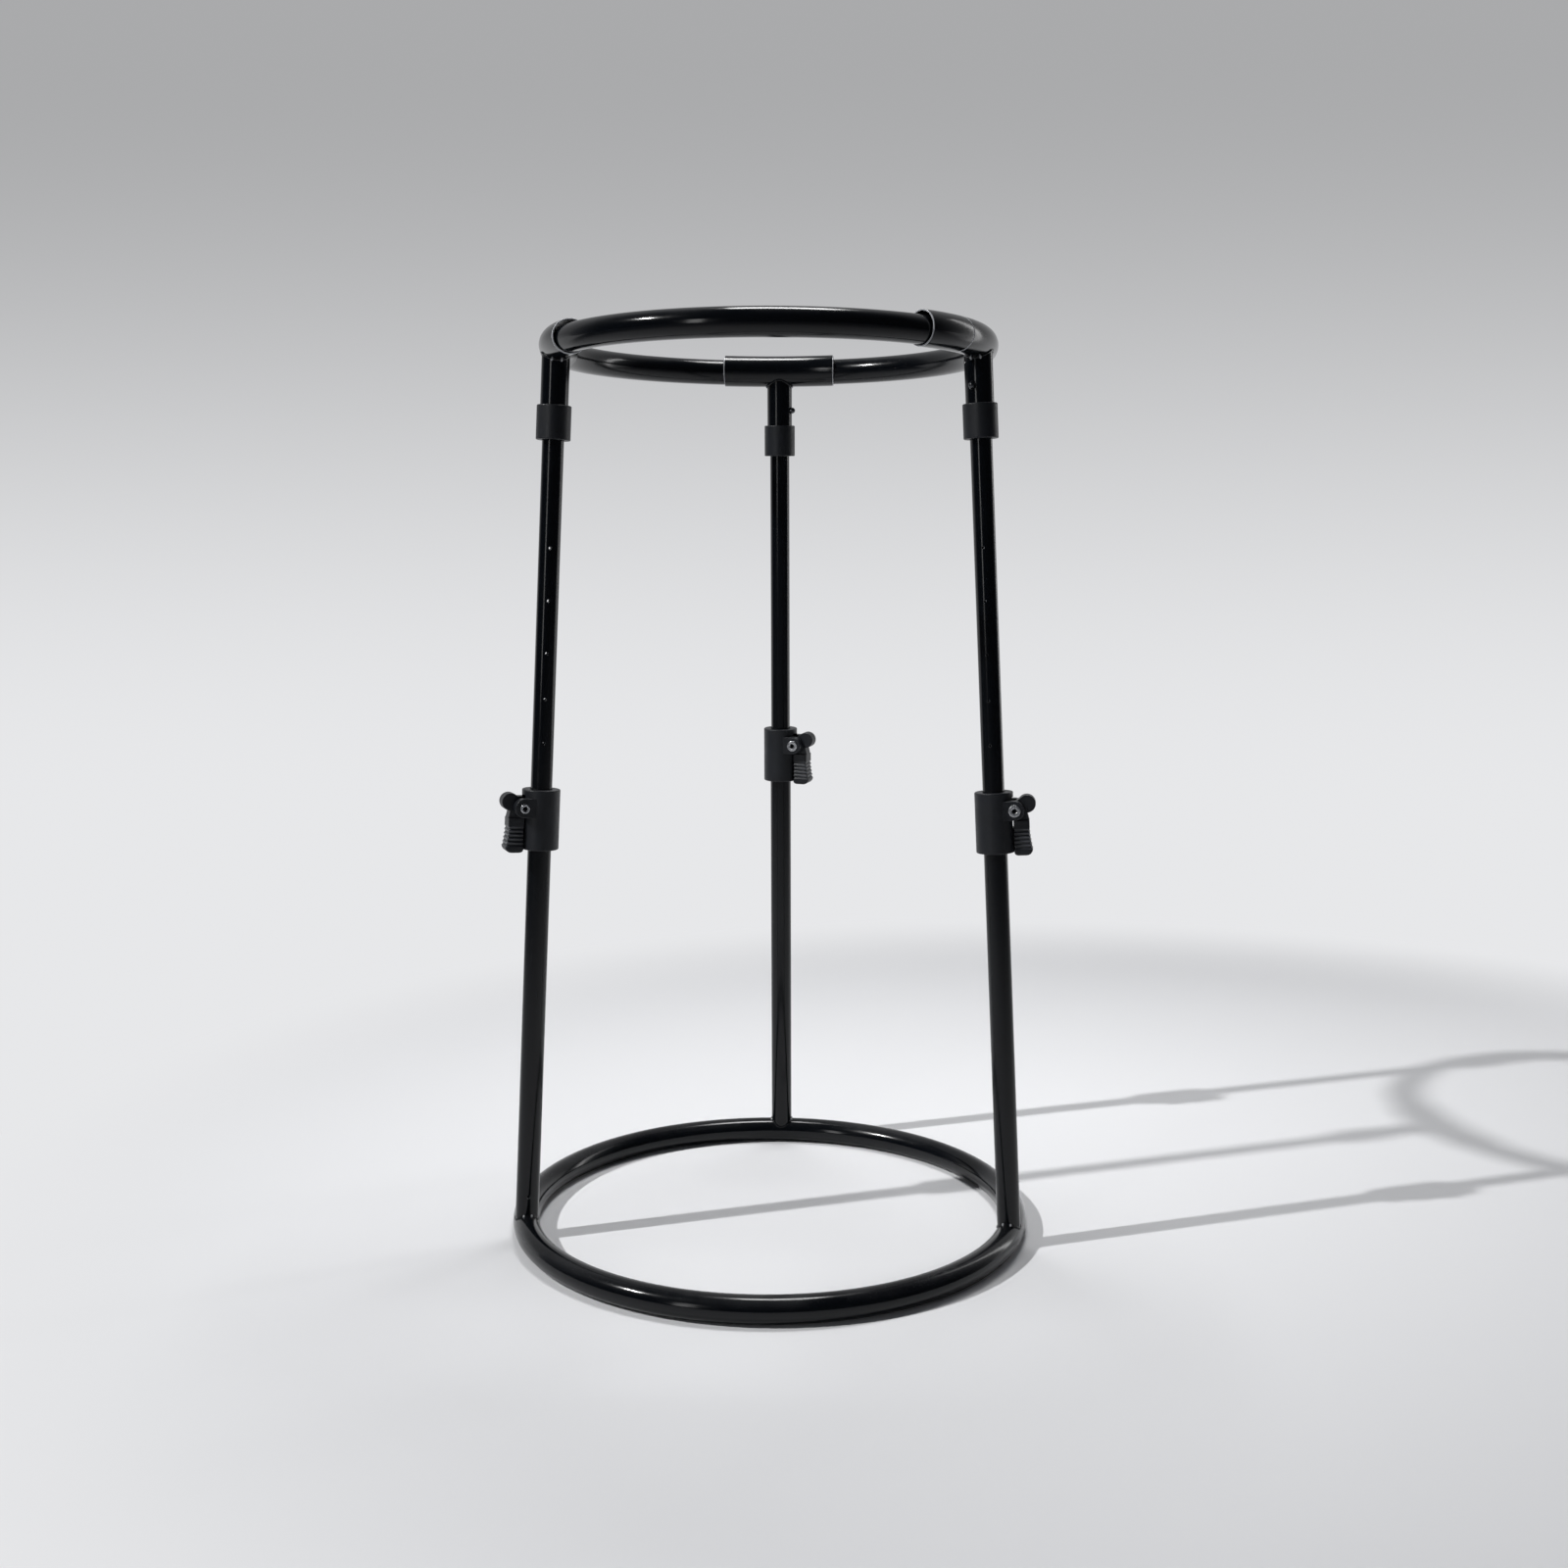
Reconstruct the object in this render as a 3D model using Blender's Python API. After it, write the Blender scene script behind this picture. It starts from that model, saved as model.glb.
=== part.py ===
"""Adjustable drum stand: two tube rings joined by three telescopic legs with lever clamps.

Metres, +Z up. The origin is on the floor under the centre of the base ring, and the
rear leg stands at +Y. Azimuths are turned from +Y towards +X, seen from above.
Each leg has its own frame: its origin is on the base ring's centre line, z runs up the
leg, x points away from the stand's middle and y runs along the ring.
"""

import math

import bmesh
import bpy
from mathutils import Matrix, Vector

MM = 0.001

# Fits
GAP = 0.3 * MM                    # between pieces that touch
COLLAR_PLAY = 1.1 * MM            # collar skirt around the stub, lets the leg tilt a little
BUTTON_PLAY = 0.8 * MM            # snap button in the hole of the stub

# Rings
RING_TUBE_D = 25.4 * MM
RING_WALL = 1.2 * MM
BASE_RING_D = 482.6 * MM          # centre line
TOP_RING_D = 397.4 * MM           # centre line
TOP_RING_Z = 851.0 * MM           # centre line above the floor
RING_END_GAP = 0.8 * MM           # between the two ends of the top ring, inside the splice
RING_SIDES = 12
RING_STEPS = 48

# Leg layout
LEG_AZIMUTHS = {"rear": 0.0, "right": 104.2, "left": -104.2}
CLAMP_BOTTOMS = {"rear": 404.5 * MM, "right": 371.5 * MM, "left": 371.5 * MM}
CLAMP_TURNS = {"rear": -107.0, "right": 8.5, "left": 11.0}

# Leg tubes
LOWER_TUBE_D = 22.2 * MM
LOWER_TUBE_WALL = 0.65 * MM
UPPER_TUBE_D = 20.3 * MM
UPPER_TUBE_WALL = 0.9 * MM
UPPER_TUBE_BOTTOM = 306.0 * MM    # along the leg
UPPER_TUBE_TOP_COVER = 14.0 * MM  # above the snap button
INDEX_HOLE_TOP = 654.5 * MM       # along the leg
INDEX_DROPS = (0.0, 48.8 * MM, 97.6 * MM, 140.4 * MM, 182.0 * MM)
INDEX_HOLE_D = 2.6 * MM
VENT_HOLE_D = 3.2 * MM
VENT_HEIGHT = 32.0 * MM           # along the leg
RING_VENT_D = 9.0 * MM            # through the base ring's wall, under each leg
TUBE_STEPS = 20
ROUND_STEPS = 20                  # collars and clamp bodies
HOLE_STEPS = 8

# End plug of the upper tube
PLUG_LENGTH = 18.0 * MM
PLUG_FLANGE = 4.0 * MM
PLUG_WALL = 2.4 * MM

# Tees and splice on the top ring
SLEEVE_D = 31.5 * MM
SLEEVE_WALL = 1.35 * MM
SLEEVE_LENGTH = 114.0 * MM        # between its parallel ends
SPLICE_ANGLE = 15.0               # degrees of ring that the splice covers past the tee
STUB_D = 26.0 * MM
STUB_WALL = 1.2 * MM
SLEEVE_STEP = 5.0                 # degrees of ring per facet

# Collar between stub and upper tube
COLLAR_D = 32.0 * MM
COLLAR_DROP = 47.2 * MM           # its foot, below the snap button
COLLAR_HEIGHT = 31.6 * MM
COLLAR_SEAT = 13.0 * MM           # height of the seat for the stub's end
COLLAR_EDGE = 1.0 * MM

# Snap button
BUTTON_DROP = 40.28 * MM          # below the axis of the sleeve, along the leg
BUTTON_ANGLE = -108.0             # about the leg, from its x axis
BUTTON_D = 6.0 * MM
BUTTON_PROUD = 4.3 * MM           # beyond the stub
BUTTON_TRAVEL = 4.8 * MM
BUTTON_HEAD_D = 9.0 * MM
SPRING_THICK = 0.6 * MM
SPRING_WIDTH = 6.0 * MM
SPRING_LENGTH = 34.0 * MM

# Clamp body
CLAMP_D = 36.0 * MM
CLAMP_HEIGHT = 57.0 * MM
CLAMP_EDGE = 1.4 * MM
CLAMP_NECK = 27.0 * MM            # upper part that is bored for the upper tube
CLAMP_SPLIT = 1.6 * MM
PIN_DROP = 16.8 * MM              # pin below the top of the clamp
PIN_OFFSET = 19.0 * MM            # pin from the leg's axis
EAR_R = 9.0 * MM
EAR_SPAN = 32.0 * MM              # across both ears
EAR_ROOT = 5.0 * MM               # inner end of the ears from the leg's axis
LEVER_SLOT = 13.4 * MM
SLOT_DROP = 17.0 * MM             # slot below the pin
WINDOW_SIZE = 8.4 * MM            # of the opening for the pad

# Lever pin, a tubular rivet
PIN_D = 6.4 * MM
PIN_HOLE_D = 4.4 * MM
PIN_HEAD_D = 9.0 * MM             # the end that is rolled over
PIN_FLARE_D = 11.4 * MM           # the end that comes with a head
PIN_HEAD = 0.8 * MM

# Lever: offsets are from the pin, outwards and up
HUB_R = 5.6 * MM
HEAD_OUT = 11.4 * MM
HEAD_UP = 5.2 * MM
HEAD_R = 8.3 * MM
SHOULDER_TURN = 115.0             # degrees from the line of pin and head to the shoulder
LEVER_OPEN = 28.0                 # degrees that the lever swings out
LEVER_BACK = 0.3 * MM             # inner face of the paddle
PADDLE_TOP = -10.2 * MM
PADDLE_WAIST = 13.4 * MM          # outer face at its hollow
PADDLE_FLARE = 3.2 * MM
PADDLE_END = -43.0 * MM
PADDLE_END_R = 7.6 * MM           # outer corner
PADDLE_HEEL_R = 4.56 * MM         # inner corner
PADDLE_WIDTH = 17.4 * MM
RIB_COUNT = 6
RIB_PITCH = 3.5 * MM
RIB_DEPTH = 0.7 * MM
RIB_TOP = -17.5 * MM

COLOURS = {
    "gloss_black": ((0.012, 0.012, 0.013), 0.12, 0.0),
    "black_plastic": ((0.022, 0.023, 0.025), 0.5, 0.0),
    "zinc": ((0.55, 0.56, 0.58), 0.32, 1.0),
    "nylon": ((0.035, 0.035, 0.038), 0.6, 0.0),
    "spring_steel": ((0.42, 0.42, 0.43), 0.3, 1.0),
}

parts = bpy.data.collections.new("adjustable_drum_stand")
cutters = bpy.data.collections.new("cutters")
materials = {}


def clear_scene():
    for thing in list(bpy.data.objects):
        bpy.data.objects.remove(thing, do_unlink=True)
    for collection in (parts, cutters):
        bpy.context.scene.collection.children.link(collection)


def make_materials():
    for name, (colour, roughness, metallic) in COLOURS.items():
        material = bpy.data.materials.new(name)
        material.use_nodes = True
        shader = material.node_tree.nodes["Principled BSDF"]
        shader.inputs["Base Color"].default_value = (*colour, 1.0)
        shader.inputs["Roughness"].default_value = roughness
        shader.inputs["Metallic"].default_value = metallic
        materials[name] = material


def add_part(name, mesh, material, parent=None, matrix=None):
    """Put a mesh in the parts collection, in its parent's frame."""
    mesh.name = name
    part = bpy.data.objects.new(name, mesh)
    part.data.materials.clear()
    part.data.materials.append(materials[material])
    parts.objects.link(part)
    place(part, parent, matrix)
    return part


def add_cutter(name, mesh, parent=None, matrix=None):
    cutter = bpy.data.objects.new(name, mesh)
    cutter.hide_render = True
    cutter.display_type = "WIRE"
    cutters.objects.link(cutter)
    place(cutter, parent, matrix)
    return cutter


def place(thing, parent, matrix):
    if parent is not None:
        thing.parent = parent
    if matrix is not None:
        thing.matrix_basis = matrix


def boolean(part, cutter, operation):
    modifier = part.modifiers.new(f"{operation.lower()} {cutter.name}", "BOOLEAN")
    modifier.operation = operation
    modifier.solver = "EXACT"
    modifier.object = cutter


def smooth(mesh):
    mesh.shade_smooth()
    mesh.set_sharp_from_angle(angle=math.radians(32.0))


def finish_mesh(bm, name, hollow=()):
    """hollow names the faces of a sealed inner wall, which look into the hollow."""
    bmesh.ops.recalc_face_normals(bm, faces=bm.faces)
    bmesh.ops.reverse_faces(bm, faces=list(hollow))
    mesh = bpy.data.meshes.new(name)
    bm.to_mesh(mesh)
    bm.free()
    smooth(mesh)
    return mesh


def turned_mesh(name, profile, steps=TUBE_STEPS):
    """Turn a closed (radius, height) outline about z."""
    bm = bmesh.new()
    ring = [bm.verts.new((radius, 0.0, height)) for radius, height in profile]
    edges = [bm.edges.new((a, b)) for a, b in zip(ring, ring[1:] + ring[:1])]
    bmesh.ops.spin(bm, geom=ring + edges, cent=(0, 0, 0), axis=(0, 0, 1),
                   angle=math.tau, steps=steps, use_merge=True)
    return finish_mesh(bm, name)


def solid_mesh(name, profile, steps=TUBE_STEPS):
    """Turn a (radius, height) outline that starts and ends on the axis."""
    bm = bmesh.new()
    verts = [bm.verts.new((radius, 0.0, height)) for radius, height in profile]
    edges = [bm.edges.new((a, b)) for a, b in zip(verts, verts[1:])]
    bmesh.ops.spin(bm, geom=verts + edges, cent=(0, 0, 0), axis=(0, 0, 1),
                   angle=math.tau, steps=steps, use_merge=True)
    bmesh.ops.remove_doubles(bm, verts=bm.verts, dist=1e-6)
    return finish_mesh(bm, name)


def tube_mesh(name, outer_r, inner_r, bottom, top, steps=TUBE_STEPS):
    outline = [(outer_r, top), (outer_r, bottom), (inner_r, bottom), (inner_r, top)]
    return turned_mesh(name, outline, steps)


def rod_mesh(name, radius, bottom, top, steps=TUBE_STEPS):
    bm = bmesh.new()
    bmesh.ops.create_cone(bm, cap_ends=True, segments=steps, radius1=radius, radius2=radius,
                          depth=top - bottom, matrix=Matrix.Translation((0, 0, (top + bottom) / 2)))
    return finish_mesh(bm, name)


def box_mesh(name, low, high):
    low, high = Vector(low), Vector(high)
    size = high - low
    bm = bmesh.new()
    bmesh.ops.create_cube(bm, size=1.0, matrix=Matrix.Translation((low + high) / 2)
                          @ Matrix.Diagonal((*size, 1.0)))
    return finish_mesh(bm, name)


def section_circle(bm, ring_r, radius):
    """A round section standing at +X with flat facets on top and underneath."""
    upright = Matrix.Rotation(math.pi / 2, 4, "X") @ Matrix.Rotation(math.pi / RING_SIDES, 4, "Z")
    made = bmesh.ops.create_circle(bm, cap_ends=False, segments=RING_SIDES,
                                   radius=radius / math.cos(math.pi / RING_SIDES),
                                   matrix=Matrix.Translation((ring_r, 0, 0)) @ upright)
    return made["verts"]


def ring_mesh(name, ring_r, radii, start, sweep, steps):
    """Sweep one or two round sections about z; two make a tube, its outer wall first."""
    whole = abs(sweep - 360.0) < 1e-6
    bm = bmesh.new()
    walls = []
    ends = []
    for radius in radii:
        before = set(bm.faces)
        verts = section_circle(bm, ring_r, radius)
        edges = list({edge for vert in verts for edge in vert.link_edges})
        bmesh.ops.rotate(bm, verts=verts, matrix=Matrix.Rotation(math.radians(start), 3, "Z"))
        spun = bmesh.ops.spin(bm, geom=verts + edges, cent=(0, 0, 0), axis=(0, 0, 1),
                              angle=math.radians(sweep), steps=steps, use_merge=whole)
        walls.append([face for face in bm.faces if face not in before])
        last = [item for item in spun["geom_last"] if isinstance(item, bmesh.types.BMEdge)]
        ends.append((edges, last))
    if whole:
        return finish_mesh(bm, name, walls[1] if len(walls) > 1 else ())
    if len(radii) == 1:
        bmesh.ops.holes_fill(bm, edges=[edge for edge in bm.edges if edge.is_boundary])
    else:
        for outer, inner in zip(*ends):
            close_wall(bm, outer, inner)
    return finish_mesh(bm, name)


def close_wall(bm, outer, inner):
    """Close the end of a tube's wall, from each side of the outer loop to the nearest inner one."""
    inner_verts = {vert for edge in inner for vert in edge.verts}
    for edge in outer:
        first, second = edge.verts
        beside = [min(inner_verts, key=lambda vert: (vert.co - corner.co).length)
                  for corner in (second, first)]
        bm.faces.new((first, second, *beside))


def trim_mesh(mesh, planes):
    """Cut a closed mesh square at each (point, normal) plane and cap it."""
    bm = bmesh.new()
    bm.from_mesh(mesh)
    for point, normal in planes:
        bmesh.ops.bisect_plane(bm, geom=bm.verts[:] + bm.edges[:] + bm.faces[:],
                               plane_co=point, plane_no=normal, clear_outer=True)
        bmesh.ops.holes_fill(bm, edges=[edge for edge in bm.edges if edge.is_boundary])
    bmesh.ops.recalc_face_normals(bm, faces=bm.faces)
    bm.to_mesh(mesh)
    bm.free()
    smooth(mesh)
    return mesh


def outline_mesh(name, points, half_width):
    """A flat (x, z) outline, extruded along y to both sides."""
    curve = bpy.data.curves.new(name, "CURVE")
    curve.dimensions = "2D"
    curve.fill_mode = "BOTH"
    curve.extrude = half_width
    spline = curve.splines.new("POLY")
    spline.points.add(len(points) - 1)
    for point, (x, z) in zip(spline.points, points):
        point.co = (x, z, 0.0, 1.0)
    spline.use_cyclic_u = True
    carrier = bpy.data.objects.new(name, curve)
    bpy.context.scene.collection.objects.link(carrier)
    bpy.context.view_layer.update()
    depsgraph = bpy.context.evaluated_depsgraph_get()
    flat = bpy.data.meshes.new_from_object(carrier.evaluated_get(depsgraph))
    bpy.data.objects.remove(carrier, do_unlink=True)
    bm = bmesh.new()
    bm.from_mesh(flat)
    bmesh.ops.remove_doubles(bm, verts=bm.verts, dist=1e-6)
    bmesh.ops.rotate(bm, verts=bm.verts, matrix=Matrix.Rotation(math.pi / 2, 3, "X"))
    return finish_mesh(bm, name)


def arc_points(centre, radius, start, end, count):
    """Points on an arc, with angles in degrees from +x towards +z."""
    turns = [math.radians(start + (end - start) * i / (count - 1)) for i in range(count)]
    return [(centre[0] + radius * math.cos(t), centre[1] + radius * math.sin(t)) for t in turns]


# Frames

def leg_matrix(azimuth):
    """The frame of a leg that leans from the base ring to the sleeve of its tee."""
    lean = math.atan2((BASE_RING_D - TOP_RING_D) / 2, sleeve_z() - RING_TUBE_D / 2)
    turn = Matrix.Rotation(math.radians(90.0 - azimuth), 4, "Z")
    foot = turn @ Vector((BASE_RING_D / 2, 0, RING_TUBE_D / 2))
    return Matrix.Translation(foot) @ turn @ Matrix.Rotation(-lean, 4, "Y")


def leg_length():
    return math.hypot((BASE_RING_D - TOP_RING_D) / 2, sleeve_z() - RING_TUBE_D / 2)


def sleeve_z():
    """The sleeves hang on the ring, so their bore rests on it and their axis is higher."""
    return TOP_RING_Z + SLEEVE_D / 2 - SLEEVE_WALL - RING_TUBE_D / 2 - GAP


def button_height():
    """The snap button, the collar and the upper tube's end hang from the tee."""
    return leg_length() - BUTTON_DROP


def collar_bottom():
    return button_height() - COLLAR_DROP


def lever_spread():
    """The direction from the pin to the middle of the lever's head, in degrees."""
    return math.degrees(math.atan2(HEAD_UP, HEAD_OUT))


def slot_top():
    """The lever's slot ends above the pin where the open lever's shoulder clears the clamp."""
    shoulder = arc_points((HEAD_OUT, HEAD_UP), HEAD_R, lever_spread() + SHOULDER_TURN, 0.0, 2)[0]
    turn = math.radians(LEVER_OPEN)
    return max(EAR_R + GAP, shoulder[0] * math.sin(turn) + shoulder[1] * math.cos(turn))


def leg_empty(side):
    empty = bpy.data.objects.new(f"leg_axis_{side}", None)
    parts.objects.link(empty)
    empty.matrix_world = leg_matrix(LEG_AZIMUTHS[side])
    return empty


def clamp_frame(side):
    """Turned about the leg so that +X points at the lever, at the height of the pin."""
    height = CLAMP_BOTTOMS[side] + CLAMP_HEIGHT - PIN_DROP
    turn = Matrix.Rotation(math.radians(CLAMP_TURNS[side]), 4, "Z")
    return Matrix.Translation((0, 0, height)) @ turn


def across(distance, height):
    """A frame whose z axis runs along the clamp frame's y axis, for pins and holes."""
    return Matrix.Translation((distance, 0, height)) @ Matrix.Rotation(-math.pi / 2, 4, "X")


def button_frame():
    """At the snap button, with z pointing out of the leg."""
    turn = Matrix.Rotation(math.radians(BUTTON_ANGLE), 4, "Z")
    return Matrix.Translation((0, 0, button_height())) @ turn @ Matrix.Rotation(math.pi / 2, 4, "Y")


# Pieces

def make_base_ring():
    radii = (RING_TUBE_D / 2, RING_TUBE_D / 2 - RING_WALL)
    mesh = ring_mesh("base_ring", BASE_RING_D / 2, radii, 0.0, 360.0, RING_STEPS)
    ring = add_part("base_ring", mesh, "gloss_black", None,
                    Matrix.Translation((0, 0, RING_TUBE_D / 2)))
    for side, azimuth in LEG_AZIMUTHS.items():
        vent = rod_mesh("ring_vent", RING_VENT_D / 2, RING_TUBE_D / 4, RING_TUBE_D, 2 * HOLE_STEPS)
        boolean(ring, add_cutter(f"ring_vent_{side}", vent, None, leg_matrix(azimuth)), "DIFFERENCE")


def make_top_ring():
    radii = (RING_TUBE_D / 2, RING_TUBE_D / 2 - RING_WALL)
    gap_angle = math.degrees(RING_END_GAP / (TOP_RING_D / 2))
    joint = 90.0 - (LEG_AZIMUTHS["right"] + tee_angle() + SPLICE_ANGLE / 2)
    mesh = ring_mesh("top_ring", TOP_RING_D / 2, radii, joint + gap_angle / 2,
                     360.0 - gap_angle, RING_STEPS)
    add_part("top_ring", mesh, "gloss_black", None, Matrix.Translation((0, 0, TOP_RING_Z)))


def tee_angle():
    """Half of the ring's angle inside a tee, at the centre line."""
    return math.degrees(math.asin(SLEEVE_LENGTH / TOP_RING_D))


def sleeve_arc(name, radius, past):
    reach = tee_angle() + past
    steps = math.ceil(2 * reach / SLEEVE_STEP)
    return ring_mesh(name, TOP_RING_D / 2, (radius,), -reach, 2 * reach, steps)


def make_tee(side, leg):
    """A bent sleeve with parallel ends, and a stub down the leg that is welded to it."""
    at_ring = Matrix.Translation((0, 0, sleeve_z())) @ Matrix.Rotation(
        math.radians(90.0 - LEG_AZIMUTHS[side]), 4, "Z")
    half = SLEEVE_LENGTH / 2
    outer = trim_mesh(sleeve_arc("sleeve", SLEEVE_D / 2, 4.0),
                      [((0, half, 0), (0, 1, 0)), ((0, -half, 0), (0, -1, 0))])
    tee = add_part(f"ring_tee_{side}", outer, "gloss_black", None, at_ring)
    foot = collar_bottom() + COLLAR_SEAT + GAP
    stub = rod_mesh("stub", STUB_D / 2, foot, leg_length(), TUBE_STEPS)
    boolean(tee, add_cutter(f"stub_{side}", stub, leg), "UNION")
    bore = sleeve_arc("sleeve_bore", SLEEVE_D / 2 - SLEEVE_WALL, 8.0)
    boolean(tee, add_cutter(f"sleeve_bore_{side}", bore, None, at_ring), "DIFFERENCE")
    stub_top = leg_length() - SLEEVE_D / 2 - STUB_WALL
    stub_bore = rod_mesh("stub_bore", STUB_D / 2 - STUB_WALL, foot - 5 * MM, stub_top, TUBE_STEPS)
    boolean(tee, add_cutter(f"stub_bore_{side}", stub_bore, leg), "DIFFERENCE")
    hole = rod_mesh("stub_hole", BUTTON_D / 2 + BUTTON_PLAY, 0.0, STUB_D, 2 * HOLE_STEPS)
    boolean(tee, add_cutter(f"stub_hole_{side}", hole, leg, button_frame()), "DIFFERENCE")


def make_splice():
    """A bent sleeve that covers the ring's joint, and butts on the right tee."""
    start = tee_angle() - 3.0
    sweep = SPLICE_ANGLE + 3.0
    radii = (SLEEVE_D / 2,)
    steps = math.ceil(sweep / SLEEVE_STEP)
    face = ((0, -SLEEVE_LENGTH / 2 - GAP, 0), (0, 1, 0))
    outer = trim_mesh(ring_mesh("splice", TOP_RING_D / 2, radii, -start - sweep, sweep, steps), [face])
    at_ring = Matrix.Translation((0, 0, sleeve_z())) @ Matrix.Rotation(
        math.radians(90.0 - LEG_AZIMUTHS["right"]), 4, "Z")
    splice = add_part("ring_splice_sleeve", outer, "gloss_black", None, at_ring)
    bore = ring_mesh("splice_bore", TOP_RING_D / 2, (SLEEVE_D / 2 - SLEEVE_WALL,),
                     -start - sweep - SLEEVE_STEP, sweep + 2 * SLEEVE_STEP, steps + 2)
    boolean(splice, add_cutter("splice_bore", bore, None, at_ring), "DIFFERENCE")


def make_lower_tube(side, leg, cope):
    """A tube whose foot is coped to sit on the base ring."""
    top = CLAMP_BOTTOMS[side] + CLAMP_HEIGHT - CLAMP_NECK - GAP
    outer_r = LOWER_TUBE_D / 2
    mesh = tube_mesh("lower_tube", outer_r, outer_r - LOWER_TUBE_WALL, 0.0, top)
    tube = add_part(f"lower_tube_{side}", mesh, "gloss_black", leg)
    boolean(tube, cope, "DIFFERENCE")
    vent = rod_mesh("tube_vent", VENT_HOLE_D / 2, 0.0, LOWER_TUBE_D, HOLE_STEPS)
    turn = Matrix.Translation((0, 0, VENT_HEIGHT)) @ Matrix.Rotation(-math.pi / 2, 4, "X")
    boolean(tube, add_cutter(f"tube_vent_{side}", vent, leg, turn), "DIFFERENCE")


def make_upper_tube(side, leg):
    outer_r = UPPER_TUBE_D / 2
    top = button_height() + UPPER_TUBE_TOP_COVER
    mesh = tube_mesh("upper_tube", outer_r, outer_r - UPPER_TUBE_WALL, UPPER_TUBE_BOTTOM, top)
    tube = add_part(f"upper_tube_{side}", mesh, "gloss_black", leg)
    for drop in INDEX_DROPS:
        drill = rod_mesh("index_hole", INDEX_HOLE_D / 2, -UPPER_TUBE_D, UPPER_TUBE_D, HOLE_STEPS)
        name = f"index_hole_{side}_{drop / MM:.0f}"
        boolean(tube, add_cutter(name, drill, leg, across(0.0, INDEX_HOLE_TOP - drop)), "DIFFERENCE")
    hole = rod_mesh("button_hole", BUTTON_D / 2 + GAP, 0.0, UPPER_TUBE_D, 2 * HOLE_STEPS)
    boolean(tube, add_cutter(f"button_hole_{side}", hole, leg, button_frame()), "DIFFERENCE")


def make_end_plug(side, leg):
    """A flanged plastic plug in the foot of the upper tube, which guides it."""
    flange_r = UPPER_TUBE_D / 2
    body_r = UPPER_TUBE_D / 2 - UPPER_TUBE_WALL - GAP
    foot = UPPER_TUBE_BOTTOM - GAP - PLUG_FLANGE
    seat = UPPER_TUBE_BOTTOM - GAP
    outline = [(body_r, foot + PLUG_LENGTH), (body_r, seat), (flange_r, seat), (flange_r, foot),
               (body_r - PLUG_WALL, foot), (body_r - PLUG_WALL, foot + PLUG_LENGTH)]
    add_part(f"tube_end_plug_{side}", turned_mesh("end_plug", outline), "nylon", leg)


def make_collar(side, leg):
    """A moulded reducer: its bore grips the upper tube and its skirt hides the stub's end."""
    outer_r = COLLAR_D / 2
    bore_r = UPPER_TUBE_D / 2 + GAP
    skirt_r = STUB_D / 2 + COLLAR_PLAY
    top = collar_bottom() + COLLAR_HEIGHT
    seat = collar_bottom() + COLLAR_SEAT
    outline = [(outer_r - COLLAR_EDGE, top), (outer_r, top - COLLAR_EDGE),
               (outer_r, collar_bottom() + COLLAR_EDGE), (outer_r - COLLAR_EDGE, collar_bottom()),
               (bore_r + COLLAR_EDGE, collar_bottom()), (bore_r, collar_bottom() + COLLAR_EDGE),
               (bore_r, seat), (skirt_r, seat), (skirt_r, top)]
    add_part(f"leg_collar_{side}", turned_mesh("collar", outline, ROUND_STEPS), "black_plastic", leg)


def make_snap_button(side, leg):
    """A domed steel button with a head inside the tube, and the arm that pushes it out."""
    radius = BUTTON_D / 2
    tip = STUB_D / 2 + BUTTON_PROUD
    head_out = UPPER_TUBE_D / 2 - UPPER_TUBE_WALL - 4 * GAP
    head_in = head_out - 2 * SPRING_THICK
    dome = [(0.0, tip)] + [(radius * math.sin(t), tip - radius * (1 - math.cos(t)))
                           for t in (math.pi / 6, math.pi / 3, math.pi / 2)]
    outline = dome + [(radius, head_out), (BUTTON_HEAD_D / 2, head_out),
                      (BUTTON_HEAD_D / 2, head_in), (0.0, head_in)]
    add_part(f"snap_button_{side}", solid_mesh("snap_button", outline, 2 * HOLE_STEPS), "zinc", leg,
             button_frame())


def make_button_spring(side, leg):
    """A bent leaf: one arm on the far wall of the tube, and a bow that reaches the head."""
    wall = UPPER_TUBE_D / 2 - UPPER_TUBE_WALL - 5 * GAP
    head_in = UPPER_TUBE_D / 2 - UPPER_TUBE_WALL - 4 * GAP - 2 * SPRING_THICK
    rest = head_in - BUTTON_TRAVEL - GAP
    bow = (wall + rest) / 2
    middle = (rest - wall) / 2
    foot = -SPRING_LENGTH + bow
    steps = 9
    outer = [(SPRING_WIDTH, -wall)]
    outer += [(foot - bow * math.sin(math.pi * i / (steps - 1)),
               middle - bow * math.cos(math.pi * i / (steps - 1))) for i in range(steps)]
    outer += [(SPRING_WIDTH / 2, rest)]
    inner_bow = bow - SPRING_THICK
    inner = [(SPRING_WIDTH / 2, rest - SPRING_THICK)]
    inner += [(foot - inner_bow * math.sin(math.pi * i / (steps - 1)),
               middle + inner_bow * math.cos(math.pi * i / (steps - 1))) for i in range(steps)]
    inner += [(SPRING_WIDTH, -wall + SPRING_THICK)]
    mesh = outline_mesh("button_spring", outer + inner, SPRING_WIDTH / 2)
    turn = Matrix.Translation((0, 0, button_height())) @ Matrix.Rotation(
        math.radians(BUTTON_ANGLE), 4, "Z")
    upright = Matrix(((0, 0, 1, 0), (0, 1, 0, 0), (1, 0, 0, 0), (0, 0, 0, 1)))
    mesh.transform(upright)
    mesh.flip_normals()
    add_part(f"button_spring_{side}", mesh, "spring_steel", leg, turn)


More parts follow.
